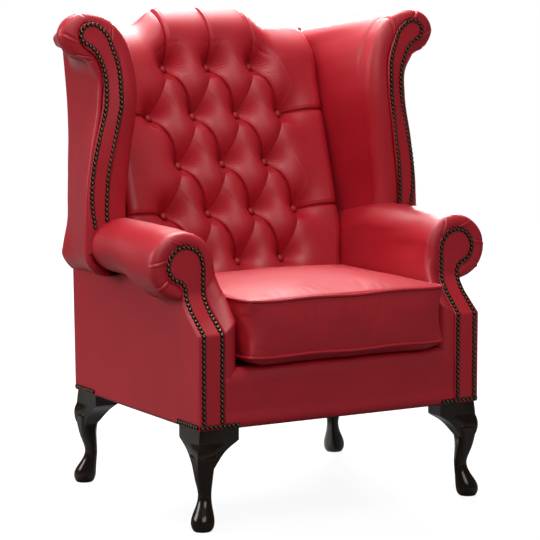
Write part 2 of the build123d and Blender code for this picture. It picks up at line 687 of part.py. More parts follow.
dust_z = (BODY_BOTTOM - DUST_COVER, BODY_BOTTOM)
dust_cover = box((-FRAME_HALF_WIDTH, FRAME_HALF_WIDTH), (FRAME_FRONT, FRAME_REAR), dust_z)
leg_room = at_corners(box((-EAR_LENGTH, 0), (0, EAR_LENGTH), dust_z))
save("dust_cover", dust_cover - list(leg_room.values()))

# Seat cushion: a boxed cushion with a crown, a softer belly and drawn-in sides between its two
# seams, and the piping that is sewn into both seams.
cushion_middle_y = (CUSHION_FRONT + CUSHION_REAR) / 2
cushion_length = CUSHION_REAR - CUSHION_FRONT


def cushion_outline(inset, z):
    corner = CUSHION_CORNER + max(0, inset) / 2
    shape = RectangleRounded(2 * (CUSHION_HALF_WIDTH - inset), cushion_length - 2 * inset, corner)
    return Pos(0, cushion_middle_y, z) * shape


def crowned(seam, height):
    """The soft swelling from a seam to its highest or lowest level."""
    steps = [(0, 0), (14, 0.42), (45, 0.76), (110, 1)]
    return loft([cushion_outline(inset, seam + height * share) for inset, share in steps])


low_seam, high_seam = CUSHION_SEAMS
waist = (low_seam + high_seam) / 2
cushion = loft([
    cushion_outline(0, low_seam),
    cushion_outline(CUSHION_DRAW_IN, waist),
    cushion_outline(0, high_seam),
])
cushion += crowned(high_seam, CUSHION_CROWN)
cushion += crowned(low_seam, -CUSHION_BELLY)


def piping(z):
    """A cord laid around the edge of one seam."""
    path = cushion_outline(0, z).wire()
    start = path @ 0
    section = Plane(origin=start, z_dir=path % 0) * Circle(PIPING_RADIUS)
    return sweep(section, path=path)


cords = [piping(z) for z in CUSHION_SEAMS]
save("seat_cushion", cushion - cords)
save("cushion_piping", Compound(children=cords))
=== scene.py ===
import math

import bpy
import numpy as np
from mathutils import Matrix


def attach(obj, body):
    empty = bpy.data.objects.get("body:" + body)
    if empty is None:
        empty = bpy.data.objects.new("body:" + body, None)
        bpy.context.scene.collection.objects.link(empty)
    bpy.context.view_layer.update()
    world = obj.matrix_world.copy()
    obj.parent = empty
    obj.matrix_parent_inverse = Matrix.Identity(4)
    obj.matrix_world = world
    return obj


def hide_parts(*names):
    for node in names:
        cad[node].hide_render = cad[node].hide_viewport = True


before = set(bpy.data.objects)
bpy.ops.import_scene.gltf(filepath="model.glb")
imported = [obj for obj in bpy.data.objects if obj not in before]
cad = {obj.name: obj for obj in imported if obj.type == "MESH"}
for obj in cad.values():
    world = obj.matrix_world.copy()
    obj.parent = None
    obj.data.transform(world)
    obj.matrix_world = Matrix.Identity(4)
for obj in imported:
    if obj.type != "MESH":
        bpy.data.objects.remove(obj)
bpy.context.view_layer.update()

# The room. A plain white studio floor that runs out of view, with a white backdrop behind it, seen
# from the chair's left front through a long lens. Soft lamps hang overhead and high behind, two
# broad weak ones fill the front and the left, and the room adds an even pale light.
CAMERA_PLACE = (-2.6332, -4.4829, 1.1548)
CAMERA_TURN = (82.7279, 0, -30.5085)
CAMERA_LENS = 156.18
SENSOR = 36
LOOK = (math.sin(-math.radians(CAMERA_TURN[2])), math.cos(math.radians(CAMERA_TURN[2])), 0)
ROOM_LIGHT = 0.40
ROOM_DARK = 0.05
BACKDROP_EDGE = (0.88, 0.97)
FLOOR_REACH = 3000
FLOOR_GREY = "#5e5e5e"
GLOW_PLACES = (1.5, 4.0)
GLOW_LEVELS = (0.90, 0.96)
WHITE = (1, 1, 1, 1)


def linear(code):
    """An sRGB hex colour as the linear colour that Blender uses."""
    channels = [int(code[i:i + 2], 16) / 255 for i in (1, 3, 5)]
    return [c / 12.92 if c <= 0.04045 else ((c + 0.055) / 1.055) ** 2.4 for c in channels] + [1]


def add(tree, kind, inputs=(), **settings):
    """Adds a node, with its settings, and sets or links each named input."""
    node = tree.nodes.new(kind)
    for name, value in settings.items():
        setattr(node, name, value)
    for name, value in dict(inputs).items():
        if isinstance(value, bpy.types.NodeSocket):
            tree.links.new(value, node.inputs[name])
        else:
            node.inputs[name].default_value = value
    return node


def ranged(tree, value, start, end, low=0, high=1):
    """A value carried from one range to another."""
    return add(tree, "ShaderNodeMapRange", {0: value, 1: start, 2: end, 3: low, 4: high}).outputs[0]


def combined(tree, operation, first, second):
    """The result of one step of arithmetic."""
    return add(tree, "ShaderNodeMath", {0: first, 1: second}, operation=operation).outputs[0]


def new_material(name, **surface):
    """A material whose one shader has the given values on its sockets."""
    material = bpy.data.materials.new(name)
    material.use_nodes = True
    tree = material.node_tree
    tree.nodes.clear()
    surface = {name.replace("_", " "): value for name, value in surface.items()}
    shader = add(tree, "ShaderNodeBsdfPrincipled", surface)
    add(tree, "ShaderNodeOutputMaterial", {"Surface": shader.outputs[0]})
    return material, tree, shader


def two_tone(tree, shader, share, dark, pale):
    """Colours the shader between two hex colours."""
    tone = add(tree, "ShaderNodeMix", {0: share, 6: linear(dark), 7: linear(pale)}, data_type="RGBA")
    tree.links.new(tone.outputs[2], shader.inputs["Base Color"])


camera = bpy.data.objects.new("camera", bpy.data.cameras.new("camera"))
camera.location = CAMERA_PLACE
camera.rotation_euler = [math.radians(a) for a in CAMERA_TURN]
camera.data.lens = CAMERA_LENS
camera.data.sensor_width = SENSOR
bpy.context.scene.collection.objects.link(camera)
bpy.context.scene.camera = camera
bpy.context.scene.view_settings.view_transform = "Standard"


def area_lamp(name, place, target, size, power):
    """A soft rectangular lamp that faces a target and isn't seen itself."""
    lamp = bpy.data.objects.new(name, bpy.data.lights.new(name, "AREA"))
    lamp.data.shape = "RECTANGLE"
    lamp.data.size, lamp.data.size_y = size
    lamp.data.energy = power
    lamp.location = place
    lamp.visible_camera = False
    x, y, z = np.array(place) - target
    lamp.rotation_euler = (math.atan2(math.hypot(x, y), z), 0, math.atan2(x, -y))
    bpy.context.scene.collection.objects.link(lamp)


area_lamp("lamp_overhead", (-0.9, -0.6, 2.9), (0, 0, 0.6), (1.5, 1.2), 37)
area_lamp("lamp_behind", (0.4, 1.2, 2.6), (0, 0, 0.6), (1.4, 0.8), 105)
area_lamp("lamp_low_behind", (2.2, 3.8, 2.4), (0, 0, 0.7), (1.8, 0.6), 370)
area_lamp("lamp_front", (-1.0, -3.4, 2.4), (0, 0, 0.6), (2.2, 1.6), 36)
area_lamp("lamp_left", (-3.0, 1.2, 1.8), (0, 0, 0.6), (1.6, 1.6), 50)


def shown_rays(tree, direction):
    """How far a ray sees the white set: a camera ray always does, gloss and glass only behind the chair."""
    rays = add(tree, "ShaderNodeLightPath").outputs
    along = add(tree, "ShaderNodeVectorMath", {0: direction, 1: LOOK}, operation="DOT_PRODUCT")
    behind = ranged(tree, along.outputs["Value"], *BACKDROP_EDGE)
    mirrored = combined(tree, "MAXIMUM", rays["Is Glossy Ray"], rays["Is Transmission Ray"])
    mirrored = combined(tree, "MULTIPLY", mirrored, behind)
    return combined(tree, "MAXIMUM", rays["Is Camera Ray"], mirrored)


world = bpy.data.worlds.new("studio")
bpy.context.scene.world = world
world.use_nodes = True
tree = world.node_tree
tree.nodes.clear()
shown = shown_rays(tree, add(tree, "ShaderNodeTexCoord").outputs["Generated"])
gloss = add(tree, "ShaderNodeLightPath").outputs["Is Glossy Ray"]
level = ranged(tree, gloss, 0, 1, ROOM_LIGHT, ROOM_DARK)
room = add(tree, "ShaderNodeBackground", {"Color": WHITE, "Strength": level})
backdrop = add(tree, "ShaderNodeBackground", {"Color": WHITE, "Strength": 1})
both = add(tree, "ShaderNodeMixShader", {0: shown, 1: room.outputs[0], 2: backdrop.outputs[0]})
add(tree, "ShaderNodeOutputWorld", {"Surface": both.outputs[0]})

# The paper on the floor is matt and glows, so it renders white and still keeps a faint shadow.
floor_mesh = bpy.data.meshes.new("floor")
corners = [(x * FLOOR_REACH, y * FLOOR_REACH, 0) for x, y in ((-1, -1), (1, -1), (1, 1), (-1, 1))]
floor_mesh.from_pydata(corners, [], [(0, 1, 2, 3)])
floor = bpy.data.objects.new("floor", floor_mesh)
bpy.context.scene.collection.objects.link(floor)
paper = bpy.data.materials.new("white_paper")
paper.use_nodes = True
tree = paper.node_tree
tree.nodes.clear()
place = add(tree, "ShaderNodeTexCoord").outputs["Object"]
outward = add(tree, "ShaderNodeVectorMath", {0: place}, operation="NORMALIZE").outputs[0]
far = add(tree, "ShaderNodeVectorMath", {0: place}, operation="LENGTH").outputs["Value"]
level = ranged(tree, far, *GLOW_PLACES, *GLOW_LEVELS)
glow = combined(tree, "MULTIPLY", shown_rays(tree, outward), level)
matt = add(tree, "ShaderNodeBsdfDiffuse", {"Color": linear(FLOOR_GREY)})
white = add(tree, "ShaderNodeEmission", {"Color": WHITE, "Strength": glow})
lit = add(tree, "ShaderNodeAddShader", {0: matt.outputs[0], 1: white.outputs[0]})
add(tree, "ShaderNodeOutputMaterial", {"Surface": lit.outputs[0]})
floor_mesh.materials.append(paper)

# The frame. Beech rails, posts, stumps and corner blocks, sawn and planed and left unpolished,
# because the upholstery hides them. They are glued and screwed together.
BEECH_PALE = "#d9b98c"
BEECH_DARK = "#b98f5e"
GRAIN_PITCH = 0.006
GRAIN_ALONG = (1, 1, 0.12)


def dress(name, material):
    """Gives a node of the frame its material."""
    cad[name].data.materials.clear()
    cad[name].data.materials.append(material)


beech, tree, shader = new_material("planed_beech", Roughness=0.62)
place = add(tree, "ShaderNodeTexCoord").outputs["Object"]
stretch = add(tree, "ShaderNodeMapping", {"Vector": place, "Scale": GRAIN_ALONG})
pattern = {"Vector": stretch.outputs[0], "Scale": 1 / GRAIN_PITCH, "Detail": 4}
grain = add(tree, "ShaderNodeTexNoise", pattern)
two_tone(tree, shader, grain.outputs[0], BEECH_DARK, BEECH_PALE)
for name in cad:
    if name.endswith(("_rail", "_post", "_stump", "_block", "_wing_frame")):
        dress(name, beech)

# The webbing. Jute straps, woven and tacked across the seat and the back, under the stuffing.
JUTE_PALE = "#b39b6b"
JUTE_DARK = "#8a744b"
JUTE_THREAD = 0.0015
THREADS_A_WAVE = 20
jute, tree, shader = new_material("woven_jute", Roughness=0.9)
place = add(tree, "ShaderNodeTexCoord").outputs["Object"]
threads = add(tree, "ShaderNodeTexWave", {
    "Vector": place, "Scale": 1 / (THREADS_A_WAVE * JUTE_THREAD), "Distortion": 0.6,
})
two_tone(tree, shader, threads.outputs[1], JUTE_DARK, JUTE_PALE)
dress("seat_webbing", jute)
dress("back_webbing", jute)

# The leg bolts. Steel bolts through the corner blocks into the legs, turned and zinc plated, which
# gives a bright grey with a slight haze.
ZINC_DARK = "#9c9da0"
ZINC_PALE = "#c4c5c8"
ZINC_HAZE = 1 / 300
zinc, tree, shader = new_material("plated_steel", Metallic=1.0, Roughness=0.35)
place = add(tree, "ShaderNodeTexCoord").outputs["Object"]
haze = add(tree, "ShaderNodeTexNoise", {"Vector": place, "Scale": 1 / ZINC_HAZE})
two_tone(tree, shader, haze.outputs[0], ZINC_DARK, ZINC_PALE)
dress("leg_bolts", zinc)

# The dust cover. Thin black cloth, matt and slightly open in weave, stapled under the seat rails to
# close the underside.
CLOTH_DARK = "#0d0d0d"
CLOTH_PALE = "#1c1c1c"
CLOTH_THREAD = 0.0012
cloth, tree, shader = new_material("black_cloth", Roughness=0.95)
place = add(tree, "ShaderNodeTexCoord").outputs["Object"]
weave = add(tree, "ShaderNodeTexChecker", {"Vector": place, "Scale": 1 / CLOTH_THREAD})
two_tone(tree, shader, weave.outputs[1], CLOTH_DARK, CLOTH_PALE)
dress("dust_cover", cloth)

# The legs. Mahogany, carved and turned to a cabriole shape, stained nearly black and French
# polished, which leaves a deep gloss with a brown cast where the stain has thinned.
MAHOGANY_DARK = "#070504"
MAHOGANY_WARM = "#3a2716"
LEG_GRAIN = 0.004
LEG_GRAIN_ALONG = (1, 1, 0.1)
LEG_CLOUD = 1 / 18
PORE_DEPTH = 0.0005
polish = {"Roughness": 0.2, "IOR": 1.42, "Coat_Weight": 0.35, "Coat_Roughness": 0.05}
mahogany, tree, shader = new_material("polished_mahogany", **polish)
place = add(tree, "ShaderNodeTexCoord").outputs["Object"]
stretch = add(tree, "ShaderNodeMapping", {"Vector": place, "Scale": LEG_GRAIN_ALONG})
grain = add(tree, "ShaderNodeTexNoise", {"Vector": stretch.outputs[0], "Scale": 1 / LEG_GRAIN, "Detail": 5})
cloud = add(tree, "ShaderNodeTexNoise", {"Vector": place, "Scale": 1 / LEG_CLOUD, "Detail": 2})
thinned = combined(tree, "MULTIPLY", grain.outputs[0], cloud.outputs[0])
two_tone(tree, shader, thinned, MAHOGANY_DARK, MAHOGANY_WARM)
pores = add(tree, "ShaderNodeBump", {"Height": grain.outputs[0], "Strength": 0.05, "Distance": PORE_DEPTH})
tree.links.new(pores.outputs[0], shader.inputs["Normal"])
for corner in ("front_left", "front_right", "rear_left", "rear_right"):
    dress(corner + "_leg", mahogany)

# The outside arms. One flat cover of hide on each side, tacked under the roll and under the seat
# rail over a thin wadding. The hide is smooth, dyed red and waxed to a soft gloss, with a fine
# pebbled grain and slight clouding in its colour.
LEATHER = "#b41426"
LEATHER_DEEP = "#9c0f1d"
LEATHER_CLOUD = 0.09
LEATHER_PEBBLE = 0.0022
PEBBLE_DEPTH = 0.0004
BODY_SIDE = 0.350
BODY_FRONT = -0.322
BODY_FOOT = 0.213
BACK_BEND = ((0.213, 0.264), (0.700, 0.278), (1.030, 0.340))
KNEE = 0.411
SLOPE_TOP = 0.453
SLOPE_DEPTH = 0.050
NECK_TOP = 0.495
NECK_DEPTH = 0.073
OUTSIDE_TOP = 0.507
EDGE_ROUND = 0.005
EDGE_STEP = EDGE_ROUND * 0.3
FOOT_TURN = 0.020
SIDE_CROWN = 0.0015
SIDE_COLUMNS = 48
BACK_GAP = 0.003
COVER_THICKNESS = 0.002
PAD_THICKNESS = 0.003

leather, tree, shader = new_material("waxed_hide", Roughness=0.48, IOR=1.52)
place = add(tree, "ShaderNodeTexCoord").outputs["Object"]
cloud = add(tree, "ShaderNodeTexNoise", {"Vector": place, "Scale": 1 / LEATHER_CLOUD, "Detail": 3})
two_tone(tree, shader, cloud.outputs[0], LEATHER_DEEP, LEATHER)
pattern = {"Vector": place, "Scale": 1 / LEATHER_PEBBLE}
pebble = add(tree, "ShaderNodeTexVoronoi", pattern, feature="SMOOTH_F1")
relief = {"Height": pebble.outputs[0], "Strength": 0.12, "Distance": PEBBLE_DEPTH}
bump = add(tree, "ShaderNodeBump", relief)
tree.links.new(bump.outputs[0], shader.inputs["Normal"])


def smooth_line(points, count):
    """Points at even steps along a smooth line through the given ones."""
    points = np.array(points, float)
    steps = np.linalg.norm(np.diff(points, axis=0), axis=1)
    knots = np.concatenate([[0], np.cumsum(steps)])
    slopes = np.gradient(points, knots, axis=0)
    at = np.linspace(0, knots[-1], count)
    i = np.clip(np.searchsorted(knots, at, "right") - 1, 0, len(steps) - 1)
    gap = (knots[i + 1] - knots[i])[:, None]
    t = (at[:, None] - knots[i][:, None]) / gap
    first = (1 + 2 * t) * (1 - t) ** 2 * points[i] + t * (1 - t) ** 2 * gap * slopes[i]
    second = t * t * (3 - 2 * t) * points[i + 1] + t * t * (t - 1) * gap * slopes[i + 1]
    return first + second


def eased(t):
    """A smooth step from 0 to 1."""
    t = np.clip(t, 0, 1)
    return t * t * (3 - 2 * t)


def normals(rows):
    """The normal at each point of a grid, across its two directions."""
    across = np.gradient(rows, axis=1)
    along = np.gradient(rows, axis=0)
    found = np.cross(across, along)
    return found / np.maximum(np.linalg.norm(found, axis=2, keepdims=True), 1e-12)


def surface(name, rows, material, thick=0, ends=False):
    """A smooth mesh over a grid of points, with a thickness behind it or with its ends closed."""
    rows = np.array(rows, float)
    n, m = rows.shape[:2]
    faces = []
    for i in range(n - 1):
        for j in range(m - 1):
            a = i * m + j
            faces.append((a, a + 1, a + m + 1, a + m))
    if ends:
        faces.append(tuple(range(m))[::-1])
        faces.append(tuple(range((n - 1) * m, n * m)))
    mesh = bpy.data.meshes.new(name)
    mesh.from_pydata(rows.reshape(-1, 3).tolist(), [], faces)
    mesh.shade_smooth()
    mesh.materials.append(material)
    piece = bpy.data.objects.new(name, mesh)
    bpy.context.scene.collection.objects.link(piece)
    if thick:
        solid = piece.modifiers.new("thickness", "SOLIDIFY")
        solid.thickness = thick
        solid.offset = -1
    return piece


def upholster(piece, nodes, body="chair"):
    """What every leather piece gets: its body, and the parts that it stands for hidden."""
    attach(piece, body)
    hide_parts(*nodes)


def cover_both_sides(name, rows, thick):
    """The right-hand piece from its grid, and the left-hand one as its mirror image."""
    rows = np.array(rows)
    upholster(surface("right_" + name + "_hide", rows, leather, thick), ["right_" + name])
    mirrored = (rows * (-1, 1, 1))[:, ::-1]
    upholster(surface("left_" + name + "_hide", mirrored, leather, thick), ["left_" + name])


def rear_y(z):
    """The outside back of the chair at a height."""
    heights, depths = zip(*BACK_BEND)
    return np.interp(z, heights, depths)


def front_setback(z):
    """How far the front of the arm lies behind the front of the chair at a height."""
    slope = np.interp(z, (KNEE, SLOPE_TOP), (0, SLOPE_DEPTH))
    share = np.clip((z - SLOPE_TOP) / (NECK_TOP - SLOPE_TOP), 0, 1)
    return slope + (NECK_DEPTH - SLOPE_DEPTH) * np.sin(share * math.pi / 2)


heights = np.linspace(BODY_FOOT + EDGE_ROUND, OUTSIDE_TOP, 60)
heights = np.concatenate([[BODY_FOOT, BODY_FOOT], heights])
across = np.linspace(0, 1, SIDE_COLUMNS)
rows = []
for i, z in enumerate(heights):
    front = BODY_FRONT + front_setback(z)
    y = front + EDGE_ROUND + (rear_y(z) - BACK_GAP - front - EDGE_ROUND) * across
    x = BODY_SIDE + SIDE_CROWN * np.sin(math.pi * across) * math.sin(math.pi * i / len(heights))
    x = x - (FOOT_TURN, EDGE_STEP, 0)[min(i, 2)]
    corner = [(FOOT_TURN, 0), (EDGE_ROUND, 0), (EDGE_STEP, EDGE_STEP)]
    corner = [(min(BODY_SIDE - inward, x[0]), front + back, z) for inward, back in corner]
    rows.append(corner + list(zip(x, y, np.full(SIDE_COLUMNS, z))))
cover_both_sides("outside_arm", rows, COVER_THICKNESS)

# The front border. One cover of hide over the front rail and a roll of stuffing on top of it,
# which gives the soft lip under the cushion. It is tacked under the rail.
BORDER_SIDE = 0.289
BORDER_CROWN = 0.0015
BORDER_PROFILE = [
    (-0.296, 0.2135), (-0.310, 0.2125), (-0.3185, 0.2135), (-0.3215, 0.218), (-0.3222, 0.250),
    (-0.3225, 0.290), (-0.3215, 0.316), (-0.3165, 0.330), (-0.3065, 0.3375), (-0.297, 0.336),
    (-0.290, 0.328), (-0.288, 0.312),
]
rows = []
for y, z in smooth_line(BORDER_PROFILE, 90):
    across = np.linspace(-BORDER_SIDE, BORDER_SIDE, 80)
    rows.append([(x, y - BORDER_CROWN * (1 - (x / BORDER_SIDE) ** 2), z) for x in across])
upholster(surface("front_border_hide", rows, leather, PAD_THICKNESS), ["front_border"])

# The seat platform. The stuffed deck under the loose cushion, covered in the same hide.
DECK_SIDE = 0.252
DECK_FRONT = -0.290
DECK_BACK = 0.125
DECK_FOOT = 0.302
DECK_TOP = 0.340
DECK_DIP = 0.008
across = np.concatenate([[-1], np.linspace(-1, 1, 41), [1]])
rows = []
for v in across:
    line = []
    for u in across:
        dip = DECK_DIP * (1 - (1 - abs(u) ** 8) * (1 - abs(v) ** 8))
        y = (DECK_FRONT + DECK_BACK) / 2 + v * (DECK_BACK - DECK_FRONT) / 2
        line.append((u * DECK_SIDE, y, DECK_TOP - dip))
    rows.append(line)
rows = np.array(rows)
rows[[0, -1], :, 2] = DECK_FOOT
rows[:, [0, -1], 2] = DECK_FOOT
upholster(surface("seat_platform_hide", rows, leather, COVER_THICKNESS), ["seat_platform"])

# The arm facings. A narrow panel of hide over a shaped board on the front of each arm, edged with
# dome nails. It runs straight up to the knee, slants back to the neck and ends in a scroll.
SCROLL = (0.341, 0.546)
SCROLL_RADIUS = 0.047
FACING_THICKNESS = 0.004
FACING_CROWN = 0.0012


def around(centre, radius, degrees):
    """Points around a circle, at the given angles."""
    turns = [math.radians(a) for a in degrees]
    return [(centre[0] + radius * math.cos(a), centre[1] + radius * math.sin(a)) for a in turns]


ARM_FACING_INNER = [
    (0.288, 0.2135), (0.288, 0.300), (0.288, 0.360), (0.2885, 0.411), (0.2915, 0.453),
    (0.2935, 0.483), (0.2938, 0.515), *around(SCROLL, SCROLL_RADIUS, (180, 150, 120, 90)),
]
ARM_FACING_OUTER = [
    (0.3495, 0.2135), (0.3495, 0.300), (0.3495, 0.360), (0.3495, 0.411), (0.3485, 0.453),
    (0.3485, 0.483), (0.3500, 0.495), (0.3590, 0.5075),
    *around(SCROLL, SCROLL_RADIUS, (-38, -10, 20, 55, 90)),
]


def facing_rows(inner, outer, front, count):
    """A grid between the inner and outer edges of a facing, slightly crowned between its nails."""
    found = []
    for a, b in zip(smooth_line(inner, count), smooth_line(outer, count)):
        line = []
        narrow = min(1, np.linalg.norm(b - a) / 0.03)
        for w in np.linspace(0, 1, 15):
            x, z = a + (b - a) * w
            rise = FACING_CROWN * min(1, 6 * w * (1 - w)) * narrow
            line.append((x, front(z, w) - rise, z))
        found.append(line)
    return found


def arm_front(z, w):
    """The front of the arm, which lies back at its slope and its neck, the same across its width."""
    return BODY_FRONT + front_setback(z)


rows = facing_rows(ARM_FACING_INNER, ARM_FACING_OUTER, arm_front, 130)
cover_both_sides("arm_facing", rows, FACING_THICKNESS)

# The arm pads. Hide stretched over horsehair from under the outside of the roll, over the top and
# down the inside to the deck. Its front edge is turned over the post in a soft round, with a few
# gathers where it goes about the scroll.
ROLL = (0.345, 0.547)
ROLL_FLAT = (0.345, 0.5645)
ROLL_REAR = (0.324, 0.545)
ROLL_SECTIONS = [
    (ROLL, (0.070, 0.073), -0.170, 14),
    (ROLL_FLAT, (0.070, 0.056), -0.050, 14),
    (ROLL_FLAT, (0.070, 0.056), 0.036, 10),
    (ROLL_REAR, (0.045, 0.048), 0.262, 18),
]
ROLL_ANGLES = (-42, -10, 25, 60, 95, 130, 165, 180)
ROLL_UNDER = (-82, -62)
ARM_EDGE = [
    (0.349, 0.493), (0.359, 0.5065), *around(SCROLL, SCROLL_RADIUS, ROLL_ANGLES), (0.2938, 0.512),
    (0.2935, 0.483), (0.2915, 0.453), (0.2885, 0.411), (0.288, 0.360), (0.288, 0.304),
]
ARM_WALL = [
    (0.2655, 0.512), (0.2590, 0.483), (0.2565, 0.447), (0.2550, 0.411), (0.2550, 0.360), (0.2550, 0.304),
]
NOSE_RADII = (0.0735, 0.0695)
NOSE_BULGE = 0.004
NOSE_POWER = 2 / 2.5
ROLL_NOSE = 0.016
WALL_NOSE = 0.032
ARM_COLUMNS = 420
ARM_GATHERS = (-40, 2, 55, 110)
GATHER_DEPTH = 0.0022
GATHER_FADE = 0.035


def arm_outline(centre, radii):
    """The full outline of the arm, from under the roll, around it and down the inside."""
    roll = around((0, 0), 1, ROLL_UNDER + ROLL_ANGLES)
    return [(centre[0] + radii[0] * x, centre[1] + radii[1] * z) for x, z in roll] + ARM_WALL


edge = smooth_line(ARM_EDGE, ARM_COLUMNS)
nose = smooth_line(arm_outline(ROLL, NOSE_RADII), ARM_COLUMNS)
edge_y = BODY_FRONT + FACING_THICKNESS + front_setback(edge[:, 1])
nose_y = edge_y + np.interp(nose[:, 1], (KNEE, NECK_TOP), (WALL_NOSE, ROLL_NOSE))
rows = []
shares = []
for turn in np.linspace(0, math.pi / 2, 26):
    xz = edge + (nose - edge) * math.sin(turn) ** NOSE_POWER
    y = edge_y + (nose_y - edge_y) * (1 - math.cos(turn) ** NOSE_POWER)
    bulge = NOSE_BULGE * np.interp(edge[:, 1], (KNEE, NECK_TOP), (0.3, 1))
    y = y - bulge * math.sin(min(2 * turn, math.pi)) ** 0.8
    rows.append(np.stack([xz[:, 0], y, xz[:, 1]], axis=1))
    shares.append(turn / (math.pi / 2))
last, last_y = nose, nose_y
for centre, radii, station, count in ROLL_SECTIONS:
    section = smooth_line(arm_outline(centre, radii), ARM_COLUMNS)
    for share in np.linspace(0, 1, count)[1:]:
        xz = last + (section - last) * (eased(share) if station < 0 else share)
        y = last_y + (station - last_y) * share
        rows.append(np.stack([xz[:, 0], y, xz[:, 1]], axis=1))
        shares.append(1 + (y[100] - nose_y[100]) / GATHER_FADE)
    last, last_y = section, np.full(ARM_COLUMNS, station)
rows = np.array(rows)
shares = np.array(shares)[:, None]


def gathers(places, shares, columns, width, reach):
    """Short pleats that run back from the nailed edge, each a crease with a raised lip beside it."""
    found = 0
    for k, place in enumerate(places):
        side = np.arange(columns)[None, :] - place
        length = reach * (1 + 0.35 * math.sin(5 * k + 1))
        fade = np.exp(-(shares / length) ** 4) * np.minimum(1, shares * 8 + 0.25)
        crease = -np.exp(-(side / width) ** 2) + 0.6 * np.exp(-((side - 2.4 * width) / (1.4 * width)) ** 2)
        found = found + GATHER_DEPTH * fade * crease
    return found


angles = np.degrees(np.arctan2(nose[:, 1] - ROLL[1], nose[:, 0] - ROLL[0]))
places = [int(np.argmin(np.abs(angles[:300] - a))) for a in ARM_GATHERS]
rows = rows + normals(rows) * gathers(places, shares, ARM_COLUMNS, 1.5, 0.8)[:, :, None]
cover_both_sides("arm_pad", rows, PAD_THICKNESS)

# The wing facings. A panel of hide on the front edge of each wing, edged with dome nails, that
# curls over outwards into a scroll at the top.
FACING_TOP = (0.409, 1.047)
FACING_INNER = [
    (0.374, 0.548), (0.3755, 0.660), (0.358, 0.775), (0.341, 0.885), (0.344, 0.955), (0.362, 1.003),
    (0.378, 1.030),
]
FACING_OUTER = [
    (0.431, 1.042), (0.441, 1.024), (0.434, 1.000), (0.402, 0.972), (0.386, 0.930), (0.387, 0.870),
    (0.408, 0.770), (0.422, 0.680), (0.4235, 0.548),
]
FACING_TURN = 0.012
WING_FRONT = 0.036
WAIST = 0.86
WAIST_REACH = 0.10


def wing_front(z, w):
    """The plane of the wing's front edge, turned outwards a little at the waist."""
    at_waist = math.exp(-((z - WAIST) / WAIST_REACH) ** 2)
    return WING_FRONT - FACING_TURN * at_waist * (1 - w)


rows = facing_rows(FACING_INNER + [FACING_TOP], FACING_OUTER[::-1] + [FACING_TOP], wing_front, 150)
cover_both_sides("wing_facing", rows, FACING_THICKNESS)

# The wing pads. Hide over horsehair on the inside of each wing, carried up and over the scroll to
# its underside. The strip along the front edge is a separate piece, gathered about the scroll.
PAD_TOP = (0.425, 1.0665)
PAD_INNER = [
    (0.320, 0.545), (0.322, 0.650), (0.309, 0.768), (0.295, 0.893), (0.303, 0.959), (0.327, 1.018),
    (0.356, 1.048),
]
PAD_OUTER = [
    (0.459, 1.054), (0.479, 1.022), (0.463, 0.984), (0.410, 0.963), (0.386, 0.930), (0.386, 0.870),
    (0.405, 0.770), (0.4185, 0.680), (0.421, 0.540),
]
REAR_TOP = (0.328, 1.021)
REAR_INNER = [
    (0.276, 0.545), (0.276, 0.650), (0.274, 0.768), (0.274, 0.893), (0.275, 0.959), (0.279, 0.998),
    (0.298, 1.016),
]
REAR_OUTER = [
    (0.351, 1.018), (0.3625, 1.006), (0.357, 0.988), (0.337, 0.979), (0.334, 0.930), (0.334, 0.870),
    (0.340, 0.770), (0.349, 0.680), (0.363, 0.545),
]
WING_NOSE = 0.030
WING_REAR = 0.338
WING_BACK_GAP = 0.004
WING_FLARE = 0.12
WING_COLUMNS = 600
TURNED_SHARE = 0.46
WING_SEAM = 0.085
SEAM_DEPTH = 0.0022
SEAM_STEP = 0.003
SEAM_FADE = 0.15
WING_GATHERS = (145, 68, 12, -35)
SCROLL_MIDDLE = (0.409, 1.012)
SCROLL_FOOT = 0.955
edge = smooth_line(FACING_INNER + [FACING_TOP] + FACING_OUTER, WING_COLUMNS)
full = smooth_line(PAD_INNER + [PAD_TOP] + PAD_OUTER, WING_COLUMNS)
rear = smooth_line(REAR_INNER + [REAR_TOP] + REAR_OUTER, WING_COLUMNS)
turned = np.linspace(0, 1, WING_COLUMNS) < TURNED_SHARE
edge_y = np.array([wing_front(z, 0 if near else 1) for z, near in zip(edge[:, 1], turned)])
edge_y = edge_y + FACING_THICKNESS
full_y = np.full(WING_COLUMNS, WING_FRONT + WING_NOSE)
end_y = np.minimum(WING_REAR, rear_y(rear[:, 1]) - WING_BACK_GAP)
rows = []
shares = []
for turn in np.linspace(0, math.pi / 2, 24):
    xz = edge + (full - edge) * math.sin(turn) ** NOSE_POWER
    y = edge_y + (full_y - edge_y) * (1 - math.cos(turn) ** NOSE_POWER)
    rows.append(np.stack([xz[:, 0], y, xz[:, 1]], axis=1))
    shares.append(turn / (math.pi / 2))
for share in np.linspace(0, 1, 60)[1:]:
    xz = full + (rear - full) * np.array((share + WING_FLARE * share * (1 - share), share))
    rows.append(np.stack([xz[:, 0], full_y + (end_y - full_y) * share, xz[:, 1]], axis=1))
    shares.append(1 + share * 8)
rows = np.array(rows)
shares = np.array(shares)[:, None]
angles = np.degrees(np.arctan2(full[:, 1] - SCROLL_MIDDLE[1], full[:, 0] - SCROLL_MIDDLE[0]))
on_scroll = np.flatnonzero(full[:, 1] > SCROLL_FOOT)
places = [int(on_scroll[np.argmin(np.abs(angles[on_scroll] - a))]) for a in WING_GATHERS]
rise = gathers(places, shares, WING_COLUMNS, 1.4, 1.0)
over_scroll = np.zeros(WING_COLUMNS)
over_scroll[on_scroll] = 1
over_scroll = np.convolve(over_scroll, np.ones(31) / 31, "same")[None, :]
depth = rows[:, :, 1]
seam = -SEAM_DEPTH * np.exp(-((depth - WING_SEAM) / 0.0025) ** 2)
seam = seam + SEAM_STEP * eased((depth - WING_SEAM) / 0.012)
